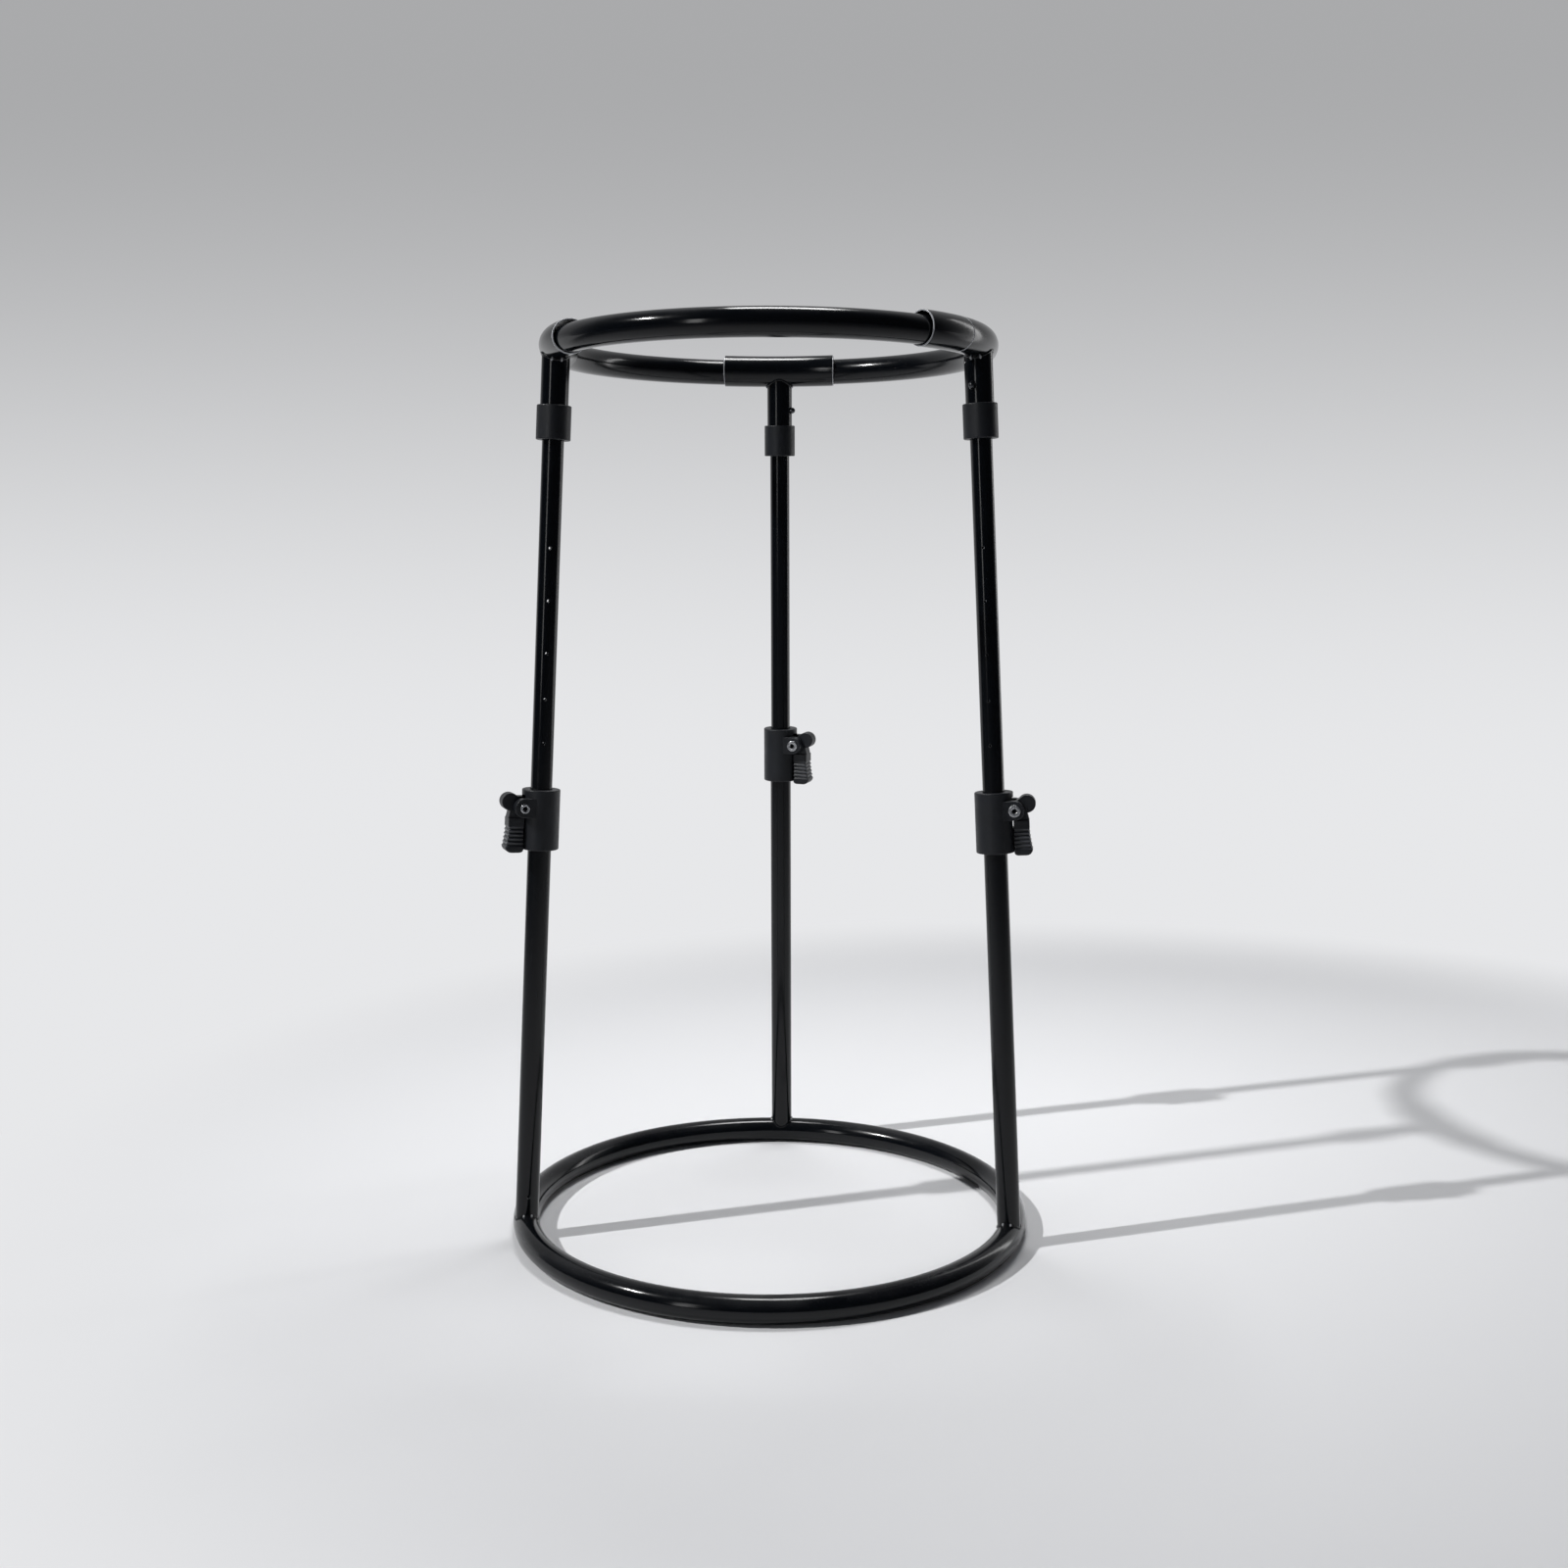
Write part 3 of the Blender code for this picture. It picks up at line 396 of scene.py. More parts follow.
def pierced_tube(place, outline, sides, holes, end_rise=None, blend=0.0):
    """A turned wall with round holes across it.

    Each hole is (along, column, radius, half_cells). A block of the grid is left out around it and
    filled with loops that go from the block's edge to the circle, in along and arc length, and the
    circles in the outer and inner skins are joined. end_rise lifts the low end by an amount for
    each column, which fades out over blend. The sunk edges of the holes are marked to be painted pale."""
    along, radius = outline[:, 0], outline[:, 1]
    rows = len(outline)
    step = math.tau / sides
    column = np.arange(sides)
    height = np.repeat(along[:, None], sides, axis=1)
    if end_rise is not None:
        fade = np.clip(1.0 - (along - along.min()) / blend, 0.0, 1.0)[:, None]
        height = height + fade * end_rise[None, :]
    turn = column * step
    points = np.stack([radius[:, None] * np.cos(turn), radius[:, None] * np.sin(turn), height], axis=-1)
    kept = np.ones((rows, sides), dtype=bool)
    shells = [points.reshape(-1, 3)]
    pale_edge = [np.zeros(rows * sides, dtype=bool)]
    quads = []
    total = rows * sides
    for hole_along, hole_column, hole_radius, half in holes:
        circles = []
        for wall in (radius.max(), radius.min()):
            on_wall = np.isclose(radius, wall)
            near = on_wall & (np.abs(along - hole_along) < half_block(sides, radius.max(), half) * 1.01)
            block = np.flatnonzero(near)
            order = block if along[block[-1]] > along[block[0]] else block[::-1]
            columns = (hole_column + np.arange(-half, half + 1)) % sides
            lowest = min(block)
            kept[lowest:lowest + len(block) - 1, :] &= ~np.isin(column, columns[:-1])[None, :]
            edge_rows = np.concatenate([np.full(2 * half, order[0]), order[:-1],
                                        np.full(2 * half, order[-1]), order[:0:-1]])
            edge_columns = np.concatenate([columns[:-1], np.full(len(order) - 1, columns[-1]),
                                           columns[:0:-1], np.full(len(order) - 1, columns[0])])
            lateral = ((edge_columns - hole_column + sides // 2) % sides - sides // 2) * step * wall
            lengthwise = along[edge_rows] - hole_along
            heading = np.arctan2(lateral, lengthwise)
            loops = [edge_rows * sides + edge_columns]
            for t, sink in ((0.45, 0.0), (0.8, 0.0), (0.95, 0.0), (1.0, 0.12 * MM)):
                a = lengthwise * (1 - t) + hole_radius * np.cos(heading) * t
                b = lateral * (1 - t) + hole_radius * np.sin(heading) * t
                depth = wall - sink if wall == radius.max() else wall + sink
                angle_at = hole_column * step + b / wall
                shells.append(np.stack([depth * np.cos(angle_at), depth * np.sin(angle_at),
                                        hole_along + a], axis=-1))
                # The sunk edge loop is marked to be painted pale.
                pale_edge.append(np.full(len(a), sink > 0.0))
                loops.append(np.arange(total, total + len(a)))
                total += len(a)
            for first, second in zip(loops, loops[1:]):
                quads.append(np.stack([first, np.roll(first, -1), np.roll(second, -1), second], axis=-1))
            circles.append(loops[-1])
        outer, inner = circles
        quads.append(np.stack([outer, np.roll(outer, -1), np.roll(inner, -1), inner], axis=-1))
    faces = grid_faces(rows, sides, closed_rows=True)[kept.ravel()]
    return place.out(np.concatenate(shells)), np.concatenate([faces] + quads), np.concatenate(pale_edge)


def half_block(sides, radius, half):
    """Half the height of the block around a hole: as many cells high as it is wide."""
    return half * math.tau / sides * radius


def holed_outline(low, high, inner, outer, edge, sides, holes):
    """A tube wall's outline with rows added for each hole, and a row now and then between them."""
    base = wall_outline(low, high, inner, outer, edge)
    out = []
    for index in range(len(base)):
        here, there = base[index], base[(index + 1) % len(base)]
        out.append(here)
        if abs(there[0] - here[0]) < (high - low) * 0.5:
            continue
        marks = []
        for hole_along, _, _, half in holes:
            reach = half_block(sides, outer, half)
            marks += list(hole_along + np.linspace(-reach, reach, 2 * half + 1))
        marks = np.sort(np.array(marks))
        stations = np.concatenate([[min(here[0], there[0])], marks, [max(here[0], there[0])]])
        extra = []
        for a, b in zip(stations, stations[1:]):
            parts = int((b - a) // (12.0 * MM))
            extra += list(np.linspace(a, b, parts + 2)[1:-1]) if parts else []
        rows = np.sort(np.concatenate([marks, extra]))
        if there[0] < here[0]:
            rows = rows[::-1]
        out += [np.array([row, here[1]]) for row in rows]
    return np.array(out)


def bead(path, radius, ripples):
    """A round bead along a closed path: centre(u) + r(u) (n cos v + b sin v), r rippled along u.

    The passes end in four small lumps, two on each side of the ring's line, marked pale as painted highlight
    specks."""
    count = len(path)
    sides = 12
    tangent = np.roll(path, -1, axis=0) - np.roll(path, 1, axis=0)
    tangent /= np.linalg.norm(tangent, axis=1)[:, None]
    outward = path - path.mean(axis=0)
    normal = outward - np.sum(outward * tangent, axis=1)[:, None] * tangent
    normal /= np.linalg.norm(normal, axis=1)[:, None]
    third = np.cross(tangent, normal)
    u = np.arange(count) * math.tau / count
    size = radius * (1.0 + 0.10 * np.cos(ripples * u) + 0.06 * np.sin(3.0 * u + 0.7))
    # Four lumps at the weld's ends, marked pale as painted highlight specks.
    ends = np.isin(np.arange(count), np.round(count * np.array([0.2, 0.3, 0.7, 0.8])))
    size = size * (1.0 + 0.7 * ends)
    v = np.arange(sides) * math.tau / sides
    ring = normal[:, None, :] * np.cos(v)[None, :, None] + third[:, None, :] * np.sin(v)[None, :, None]
    points = path[:, None, :] + ring * size[:, None, None]
    return points.reshape(-1, 3), grid_faces(count, sides, closed_rows=True), np.repeat(ends, sides)


def slab(outline, half_width, edge, place, middle=0.0):
    """An outline in x and z, carried along y from -w to w; near both ends it is drawn in by
    e (1 - cos t) while y goes on by e sin t, which rounds the edges. Both ends are filled."""
    outline = np.asarray(outline)
    ahead = np.roll(outline, -1, axis=0) - outline
    ahead /= np.linalg.norm(ahead, axis=1)[:, None]
    behind = np.roll(ahead, 1, axis=0)
    mean = ahead + behind
    mean /= np.linalg.norm(mean, axis=1)[:, None]
    x, z = outline.T
    twice_area = np.sum(x * np.roll(z, -1) - np.roll(x, -1) * z)
    inward = np.stack([-mean[:, 1], mean[:, 0]], axis=-1) * np.sign(twice_area)
    turn = np.radians(np.linspace(0.0, 90.0, 5))
    inset = np.concatenate([[edge * 1.25], edge * (1 - np.cos(turn[::-1])), [0.0]])
    height = np.concatenate([[half_width], half_width - edge + edge * np.sin(turn[::-1]),
                             [half_width - 1.6 * edge]])
    inset = np.concatenate([inset, inset[::-1]])
    height = np.concatenate([height, -height[::-1]])
    flat = outline[None] + inward[None] * inset[:, None, None]
    points = np.stack([flat[..., 0], height[:, None] + middle + 0.0 * flat[..., 0], flat[..., 1]], axis=-1)
    count = len(outline)
    faces = grid_faces(len(inset), count).tolist()
    faces.append(list(range(count)))
    faces.append(list(range((len(inset) - 1) * count, len(inset) * count)))
    return place.out(points.reshape(-1, 3)), faces


def arc(centre, radius, start, end, count):
    """Points of an arc in x and z, in degrees from x towards z."""
    turn = np.radians(np.linspace(start, end, count))
    return np.stack([centre[0] + radius * np.cos(turn), centre[1] + radius * np.sin(turn)], axis=-1)


def mesh_of(name, shells):
    """One mesh from several closed shells, with faces outwards. A third entry marks the spots that are
    painted pale.
    """
    verts, faces, rims = [], [], []
    start = 0
    for shell in shells:
        points, quads = shell[0], shell[1]
        verts.append(points)
        quads = quads.tolist() if isinstance(quads, np.ndarray) else quads
        faces += [[corner + start for corner in quad] for quad in quads]
        rims.append(shell[2].astype(float) if len(shell) > 2 else np.zeros(len(points)))
        start += len(points)
    mesh = bpy.data.meshes.new(name)
    mesh.from_pydata(np.concatenate(verts).tolist(), [], faces)
    rim = mesh.attributes.new("rim", "FLOAT", "POINT")
    rim.data.foreach_set("value", np.concatenate(rims).astype(np.float32))
    bm = bmesh.new()
    bm.from_mesh(mesh)
    bmesh.ops.remove_doubles(bm, verts=bm.verts, dist=2e-6)
    bmesh.ops.recalc_face_normals(bm, faces=bm.faces)
    bm.to_mesh(mesh)
    bm.free()
    return mesh


def add_piece(name, mesh, finish, body, *nodes, sharp=38.0):
    """Put a finished mesh in the scene, riding on its body in place of its CAD nodes."""
    mesh.shade_smooth()
    mesh.set_sharp_from_angle(angle=math.radians(sharp))
    piece = bpy.data.objects.new(name, mesh)
    bpy.context.scene.collection.objects.link(piece)
    mesh.materials.clear()
    mesh.materials.append(FINISHES[finish]())
    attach(piece, body)
    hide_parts(*nodes)
    return piece


def cut(mesh, cutters, seam=0.01 * MM):
    """Boolean steps on a mesh; cutters are (mesh, operation).

    Corners closer than a seam are merged, and corners that only divide a straight edge are taken out."""
    carrier = bpy.data.objects.new("carrier", mesh)
    bpy.context.scene.collection.objects.link(carrier)
    helpers = []
    for index, (tool, operation) in enumerate(cutters):
        helper = bpy.data.objects.new(f"tool_{index}", tool)
        bpy.context.scene.collection.objects.link(helper)
        helpers.append(helper)
        step = carrier.modifiers.new(f"step_{index}", "BOOLEAN")
        step.operation = operation
        step.solver = "EXACT"
        step.object = helper
    bpy.context.view_layer.update()
    result = bpy.data.meshes.new_from_object(carrier.evaluated_get(bpy.context.evaluated_depsgraph_get()))
    for helper in helpers + [carrier]:
        bpy.data.objects.remove(helper, do_unlink=True)
    bm = bmesh.new()
    bm.from_mesh(result)
    bmesh.ops.remove_doubles(bm, verts=bm.verts, dist=seam)
    bmesh.ops.dissolve_degenerate(bm, dist=seam, edges=bm.edges)
    bmesh.ops.dissolve_verts(bm, verts=[vert for vert in bm.verts if len(vert.link_edges) == 2])
    bm.to_mesh(result)
    bm.free()
    return result


# Shader node groups

def socket(tree, name, kind, way, default=None):
    item = tree.interface.new_socket(name=name, in_out=way, socket_type=kind)
    if default is not None:
        item.default_value = default
    return item


def new_group(name):
    tree = bpy.data.node_groups.new(name, "ShaderNodeTree")
    return tree, tree.nodes.new("NodeGroupInput"), tree.nodes.new("NodeGroupOutput")


def link(tree, a, b):
    tree.links.new(a, b)


def math_node(tree, operation, a, b=None):
    node = tree.nodes.new("ShaderNodeMath")
    node.operation = operation
    for index, value in enumerate((a, b)):
        if value is None:
            continue
        if isinstance(value, (int, float)):
            node.inputs[index].default_value = value
        else:
            link(tree, value, node.inputs[index])
    return node.outputs[0]


def noise(tree, coordinates, scale, detail, rough=0.5):
    node = tree.nodes.new("ShaderNodeTexNoise")
    node.inputs["Detail"].default_value = detail
    node.inputs["Roughness"].default_value = rough
    link(tree, coordinates, node.inputs["Vector"])
    if isinstance(scale, (int, float)):
        node.inputs["Scale"].default_value = scale
    else:
        link(tree, scale, node.inputs["Scale"])
    return node.outputs["Fac"]


def ramp(tree, value, low, high):
    """0 below low, 1 above high, smooth between."""
    node = tree.nodes.new("ShaderNodeMapRange")
    node.interpolation_type = "SMOOTHSTEP"
    node.inputs["From Min"].default_value = low
    node.inputs["From Max"].default_value = high
    link(tree, value, node.inputs["Value"])
    return node.outputs["Result"]


def settled_dust_group():
    """Fine dust that lies where a surface looks up: Mask."""
    name = "settled dust"
    if name in bpy.data.node_groups:
        return bpy.data.node_groups[name]
    tree, given, out = new_group(name)
    socket(tree, "Amount", "NodeSocketFloat", "INPUT", 0.3)
    socket(tree, "Mask", "NodeSocketFloat", "OUTPUT")
    place = tree.nodes.new("ShaderNodeTexCoord")
    geometry = tree.nodes.new("ShaderNodeNewGeometry")
    split = tree.nodes.new("ShaderNodeSeparateXYZ")
    link(tree, geometry.outputs["Normal"], split.inputs[0])
    up = ramp(tree, split.outputs["Z"], 0.25, 0.95)
    specks = ramp(tree, noise(tree, place.outputs["Object"], 900.0, 2.0, 0.7), 0.62, 0.78)
    cloud = ramp(tree, noise(tree, place.outputs["Object"], 14.0, 3.0), 0.35, 0.75)
    mixed = math_node(tree, "MULTIPLY", up, math_node(tree, "ADD", math_node(tree, "MULTIPLY", specks, 0.8),
                                                      math_node(tree, "MULTIPLY", cloud, 0.25)))
    link(tree, math_node(tree, "MULTIPLY", mixed, given.outputs["Amount"]), out.inputs["Mask"])
    return tree


def handling_group():
    """Faint smears and hairline scratches from use: Smear and Scratch."""
    name = "handling marks"
    if name in bpy.data.node_groups:
        return bpy.data.node_groups[name]
    tree, given, out = new_group(name)
    socket(tree, "Scale", "NodeSocketFloat", "INPUT", 1.0)
    socket(tree, "Smear", "NodeSocketFloat", "OUTPUT")
    socket(tree, "Scratch", "NodeSocketFloat", "OUTPUT")
    place = tree.nodes.new("ShaderNodeTexCoord")
    scaled = tree.nodes.new("ShaderNodeVectorMath")
    scaled.operation = "SCALE"
    link(tree, place.outputs["Object"], scaled.inputs[0])
    link(tree, given.outputs["Scale"], scaled.inputs["Scale"])
    smear = ramp(tree, noise(tree, scaled.outputs[0], 22.0, 4.0, 0.6), 0.42, 0.7)
    stretch = tree.nodes.new("ShaderNodeMapping")
    stretch.inputs["Scale"].default_value = (260.0, 320.0, 14.0)
    stretch.inputs["Rotation"].default_value = (0.25, 0.1, 0.0)
    link(tree, scaled.outputs[0], stretch.inputs["Vector"])
    hair = ramp(tree, noise(tree, stretch.outputs["Vector"], 1.6, 1.0), 0.69, 0.72)
    patch = ramp(tree, noise(tree, scaled.outputs[0], 9.0, 2.0), 0.5, 0.66)
    link(tree, smear, out.inputs["Smear"])
    link(tree, math_node(tree, "MULTIPLY", hair, patch), out.inputs["Scratch"])
    return tree


def moulded_grain_group():
    """The fine erosion grain of a moulding tool: Height and Tone."""
    name = "moulded grain"
    if name in bpy.data.node_groups:
        return bpy.data.node_groups[name]
    tree, given, out = new_group(name)
    socket(tree, "Scale", "NodeSocketFloat", "INPUT", 2600.0)
    socket(tree, "Height", "NodeSocketFloat", "OUTPUT")
    socket(tree, "Tone", "NodeSocketFloat", "OUTPUT")
    place = tree.nodes.new("ShaderNodeTexCoord")
    fine = noise(tree, place.outputs["Object"], given.outputs["Scale"], 2.0, 0.6)
    coarse = noise(tree, place.outputs["Object"], 420.0, 3.0, 0.55)
    wide = noise(tree, place.outputs["Object"], 38.0, 3.0, 0.5)
    link(tree, math_node(tree, "ADD", math_node(tree, "MULTIPLY", fine, 0.7),
                         math_node(tree, "MULTIPLY", coarse, 0.3)), out.inputs["Height"])
    link(tree, wide, out.inputs["Tone"])
    return tree


def use_group(tree, group, **values):
    node = tree.nodes.new("ShaderNodeGroup")
    node.node_tree = group
    for name, value in values.items():
        node.inputs[name].default_value = value
    return node.outputs


def mix_colour(tree, factor, first, second):
    node = tree.nodes.new("ShaderNodeMix")
    node.data_type = "RGBA"
    link(tree, factor, node.inputs["Factor"])
    for value, entry in ((first, node.inputs[6]), (second, node.inputs[7])):
        if isinstance(value, tuple):
            entry.default_value = value
        else:
            link(tree, value, entry)
    return node.outputs[2]


def bump(tree, height, depth, strength=1.0):
    node = tree.nodes.new("ShaderNodeBump")
    node.inputs["Strength"].default_value = strength
    node.inputs["Distance"].default_value = depth
    link(tree, height, node.inputs["Height"])
    return node.outputs["Normal"]


def start_material(name):
    """A material with its shader, or the finished one if it was made before."""
    found = bpy.data.materials.get(name)
    if found:
        return found, None, None
    material = bpy.data.materials.new(name)
    material.use_nodes = True
    tree = material.node_tree
    return material, tree, tree.nodes["Principled BSDF"].inputs


def opaque(rgb):
    return (rgb[0], rgb[1], rgb[2], 1.0)


def gloss_black():
    """Gloss black enamel on steel tube, with a slight flow texture; marked rims are painted pale, partly as
    worn enamel and partly as a painted highlight.
    """
    material, tree, shader = start_material("gloss black enamel")
    if tree is None:
        return material
    look = bpy.context.scene.drum_stand_finishes
    place = tree.nodes.new("ShaderNodeTexCoord").outputs["Object"]
    marks = use_group(tree, handling_group(), Scale=1.0)
    dust = use_group(tree, settled_dust_group(), Amount=0.22)
    rim = tree.nodes.new("ShaderNodeAttribute")
    rim.attribute_name = "rim"
    # Pale marked rims: partly worn enamel, partly a painted highlight on the cut ends and weld specks.
    rim_strength = math_node(tree, "ADD", math_node(tree, "MULTIPLY", noise(tree, place, 45.0, 2.0), 0.75), 0.4)
    rim_wear_and_highlight = math_node(tree, "MULTIPLY", rim.outputs["Fac"], rim_strength)
    base = mix_colour(tree, rim_wear_and_highlight, opaque(look.enamel), opaque(look.rim))
    base = mix_colour(tree, dust["Mask"], base, (0.30, 0.30, 0.31, 1.0))
    link(tree, base, shader["Base Color"])
    rough = math_node(tree, "ADD", math_node(tree, "MULTIPLY", marks["Smear"], 0.07), look.enamel_gloss)
    rough = math_node(tree, "ADD", rough, math_node(tree, "MULTIPLY", marks["Scratch"], 0.18))
    rough = math_node(tree, "ADD", rough, math_node(tree, "MULTIPLY", dust["Mask"], 0.5))
    link(tree, rough, shader["Roughness"])
    flow = math_node(tree, "ADD", noise(tree, place, 210.0, 2.0),
                     math_node(tree, "MULTIPLY", marks["Scratch"], -0.35))
    link(tree, bump(tree, flow, 0.000018, 0.5), shader["Normal"])
    shader["Specular IOR Level"].default_value = 0.29
    return material


def black_plastic():
    """Moulded black plastic with a fine tool grain, smoother where hands rub it; rib crests are painted
    paler, rubbed wear with a painted highlight.
    """
    material, tree, shader = start_material("moulded black plastic")
    if tree is None:
        return material
    look = bpy.context.scene.drum_stand_finishes
    grain = use_group(tree, moulded_grain_group(), Scale=2600.0)
    marks = use_group(tree, handling_group(), Scale=2.2)
    dust = use_group(tree, settled_dust_group(), Amount=0.35)
    deep = opaque([channel * 0.75 for channel in look.plastic])
    base = mix_colour(tree, ramp(tree, grain["Tone"], 0.3, 0.7), deep, opaque(look.plastic))
    base = mix_colour(tree, math_node(tree, "MULTIPLY", marks["Smear"], 0.35), base,
                      opaque([channel * 1.7 for channel in look.plastic]))
    base = mix_colour(tree, dust["Mask"], base, (0.30, 0.30, 0.31, 1.0))
    crest = tree.nodes.new("ShaderNodeAttribute")
    crest.attribute_name = "rim"
    # Rib crests painted paler: rubbed wear with a painted highlight.
    base = mix_colour(tree, crest.outputs["Fac"], base, opaque(look.rubbed_and_highlight))
    link(tree, base, shader["Base Color"])
    rough = math_node(tree, "MULTIPLY", grain["Height"], 0.14)
    rough = math_node(tree, "ADD", rough, look.plastic_gloss - 0.07)
    rough = math_node(tree, "SUBTRACT", rough, math_node(tree, "MULTIPLY", marks["Smear"], 0.08))
    rough = math_node(tree, "SUBTRACT", rough, math_node(tree, "MULTIPLY", crest.outputs["Fac"], 0.14))
    link(tree, rough, shader["Roughness"])
    height = math_node(tree, "ADD", grain["Height"], math_node(tree, "MULTIPLY", marks["Scratch"], -0.4))
    link(tree, bump(tree, height, 0.00012, 0.45), shader["Normal"])
    shader["Specular IOR Level"].default_value = 0.36
    return material


def plated(name, rgb, roughness, depth):
    """Bright metal with a fine turned or rolled texture and dull patches."""
    material, tree, shader = start_material(name)
    if tree is None:
        return material
    place = tree.nodes.new("ShaderNodeTexCoord").outputs["Object"]
    marks = use_group(tree, handling_group(), Scale=3.0)
    dull = ramp(tree, noise(tree, place, 260.0, 4.0, 0.6), 0.35, 0.75)
    base = mix_colour(tree, dull, opaque(rgb), opaque([channel * 0.72 for channel in rgb]))
    link(tree, base, shader["Base Color"])
    rough = math_node(tree, "ADD", math_node(tree, "MULTIPLY", dull, 0.14), roughness)
    rough = math_node(tree, "ADD", rough, math_node(tree, "MULTIPLY", marks["Scratch"], 0.2))
    link(tree, rough, shader["Roughness"])
    shader["Metallic"].default_value = 1.0
    link(tree, bump(tree, noise(tree, place, 1900.0, 2.0, 0.6), depth, 0.4), shader["Normal"])
    return material


def zinc():
    return plated("plated rivet metal", tuple(bpy.context.scene.drum_stand_finishes.zinc), 0.24, 0.00006)


def blackened():
    return plated("blackened button metal", tuple(bpy.context.scene.drum_stand_finishes.button), 0.2, 0.00003)


def spring_steel():
    return plated("spring steel strip", tuple(bpy.context.scene.drum_stand_finishes.spring), 0.3, 0.00004)


def nylon():
    """Dull nylon with a coarse moulded skin."""
    material, tree, shader = start_material("dull nylon")
    if tree is None:
        return material
    rgb = bpy.context.scene.drum_stand_finishes.nylon
    grain = use_group(tree, moulded_grain_group(), Scale=1500.0)
    base = mix_colour(tree, ramp(tree, grain["Tone"], 0.3, 0.7), opaque(rgb),
                      opaque([channel * 1.5 for channel in rgb]))
    link(tree, base, shader["Base Color"])
    rough = math_node(tree, "ADD", math_node(tree, "MULTIPLY", grain["Height"], 0.15), 0.5)
    link(tree, rough, shader["Roughness"])
    link(tree, bump(tree, grain["Height"], 0.0001, 0.4), shader["Normal"])
    return material


FINISHES = {"gloss_black": gloss_black, "black_plastic": black_plastic, "zinc": zinc,
            "blackened": blackened, "nylon": nylon, "spring_steel": spring_steel}


# Operators

class DRUMSTAND_OT_rings(bpy.types.Operator):
    """Make the two tube rings."""
    bl_idname = "drumstand.rings"
    bl_label = "Rings"

    def execute(self, context):
        rings, _, _ = sizes()
        base = torus(rings.base / 2, rings.tube / 2, rings.tube / 2, 240, 48)
        add_piece("base_ring_tube", mesh_of("base_ring_tube", [base]), "gloss_black", "base", "base_ring")
        top = torus(rings.top / 2, rings.tube / 2, rings.top_height, 240, 48)
        add_piece("top_ring_tube", mesh_of("top_ring_tube", [top]), "gloss_black", "ring", "top_ring")
        return {"FINISHED"}


class DRUMSTAND_OT_tees(bpy.types.Operator):
    """Make the three bent tees with their stubs, and the splice sleeve."""
    bl_idname = "drumstand.tees"
    bl_label = "Tees and splice"

    def execute(self, context):
        rings, legs, _ = sizes()
        radius = rings.top / 2
        half = rings.sleeve_length / 2
        inner, outer = rings.sleeve / 2 - rings.sleeve_wall, rings.sleeve / 2
        sides = 60
        for side in SIDES:
            sleeve = bent_sleeve(ring_frame(side), radius, inner, outer,
                                 lambda reach: -np.arcsin(half / reach),
                                 lambda reach: np.arcsin(half / reach), 0.5 * MM)
            place = leg_frame(side)
            foot = legs.collar_bottom + legs.collar_seat + legs.gap
            turn = np.arange(sides) * math.tau / sides
            seat = seat_height(place, rings.stub / 2, turn, radius, outer, sleeve_height(), False)
            top = seat.max() + 0.4 * MM
            column = round(math.degrees(legs.button_turn) / 360.0 * sides) % sides
            holes = [(legs.button_height, column, legs.button / 2 + legs.button_play, 4)]
            outline = holed_outline(foot, top, rings.stub / 2 - rings.stub_wall, rings.stub / 2,
                                    0.4 * MM, sides, holes)
            stub = pierced_tube(place, outline, sides, holes)
            path = place.out(np.stack([rings.stub / 2 * np.cos(turn), rings.stub / 2 * np.sin(turn),
                                       seat - 0.2 * MM], axis=-1))
            mesh = mesh_of(f"tee_{side}", [sleeve, stub, bead(path, rings.bead, 20)])
            add_piece(f"tee_{side}", mesh, "gloss_black", "ring", f"ring_tee_{side}")
        half_tee = math.asin(half / radius)
        start = half_tee + rings.splice
        splice = bent_sleeve(ring_frame("right"), radius, inner, outer,
                             lambda reach: -start + 0.0 * reach,
                             lambda reach: -np.arcsin((half + legs.gap) / reach), 0.5 * MM, steps=12)
        add_piece("splice_sleeve", mesh_of("splice_sleeve", [splice]), "gloss_black", "ring",
                  "ring_splice_sleeve")
        return {"FINISHED"}


class DRUMSTAND_OT_legs(bpy.types.Operator):
    """Make the lower and upper leg tubes."""
    bl_idname = "drumstand.legs"
    bl_label = "Leg tubes"

    def execute(self, context):
        rings, legs, clamps = sizes()
        sides = 60
        turn = np.arange(sides) * math.tau / sides
        for side in SIDES:
            place = leg_frame(side)
            radius = legs.lower / 2
            seat = seat_height(place, radius, turn, rings.base / 2, rings.tube / 2, rings.tube / 2, True)
            top = clamp_bottom(side) + clamps.height - clamps.neck - legs.gap
            holes = [(legs.vent_height, sides // 4, legs.vent / 2, 3)]
            low = seat.min()
            outline = holed_outline(low, top, radius - legs.lower_wall, radius, 0.2 * MM, sides, holes)
            lower = pierced_tube(place, outline, sides, holes, seat - low, 22.0 * MM)
            path = np.stack([radius * np.cos(turn), radius * np.sin(turn), seat + 0.1 * MM], axis=-1)
            mesh = mesh_of(f"lower_leg_{side}", [lower, bead(place.out(path), rings.bead, 18)])
            add_piece(f"lower_leg_tube_{side}", mesh, "gloss_black", f"lower_leg_{side}",
                      f"lower_tube_{side}")
            column = round(math.degrees(legs.button_turn) / 360.0 * sides) % sides
            drops = np.array([0.0, 48.8, 97.6, 140.4, 182.0]) * MM
            holes = [(legs.index_top - drop, quarter_turn, legs.index_hole / 2, 3)
                     for drop in drops for quarter_turn in (sides // 4, 3 * sides // 4)]
            holes.append((legs.button_height, column, legs.button / 2 + legs.gap, 5))
            marks = holes[::2]
            outline = holed_outline(legs.upper_bottom, legs.upper_top, legs.upper / 2 - legs.upper_wall,
                                    legs.upper / 2, 0.3 * MM, sides, marks)
            upper = pierced_tube(place, outline, sides, holes)
            add_piece(f"upper_leg_tube_{side}", mesh_of(f"upper_leg_{side}", [upper]), "gloss_black",
                      f"upper_leg_{side}", f"upper_tube_{side}")
        return {"FINISHED"}


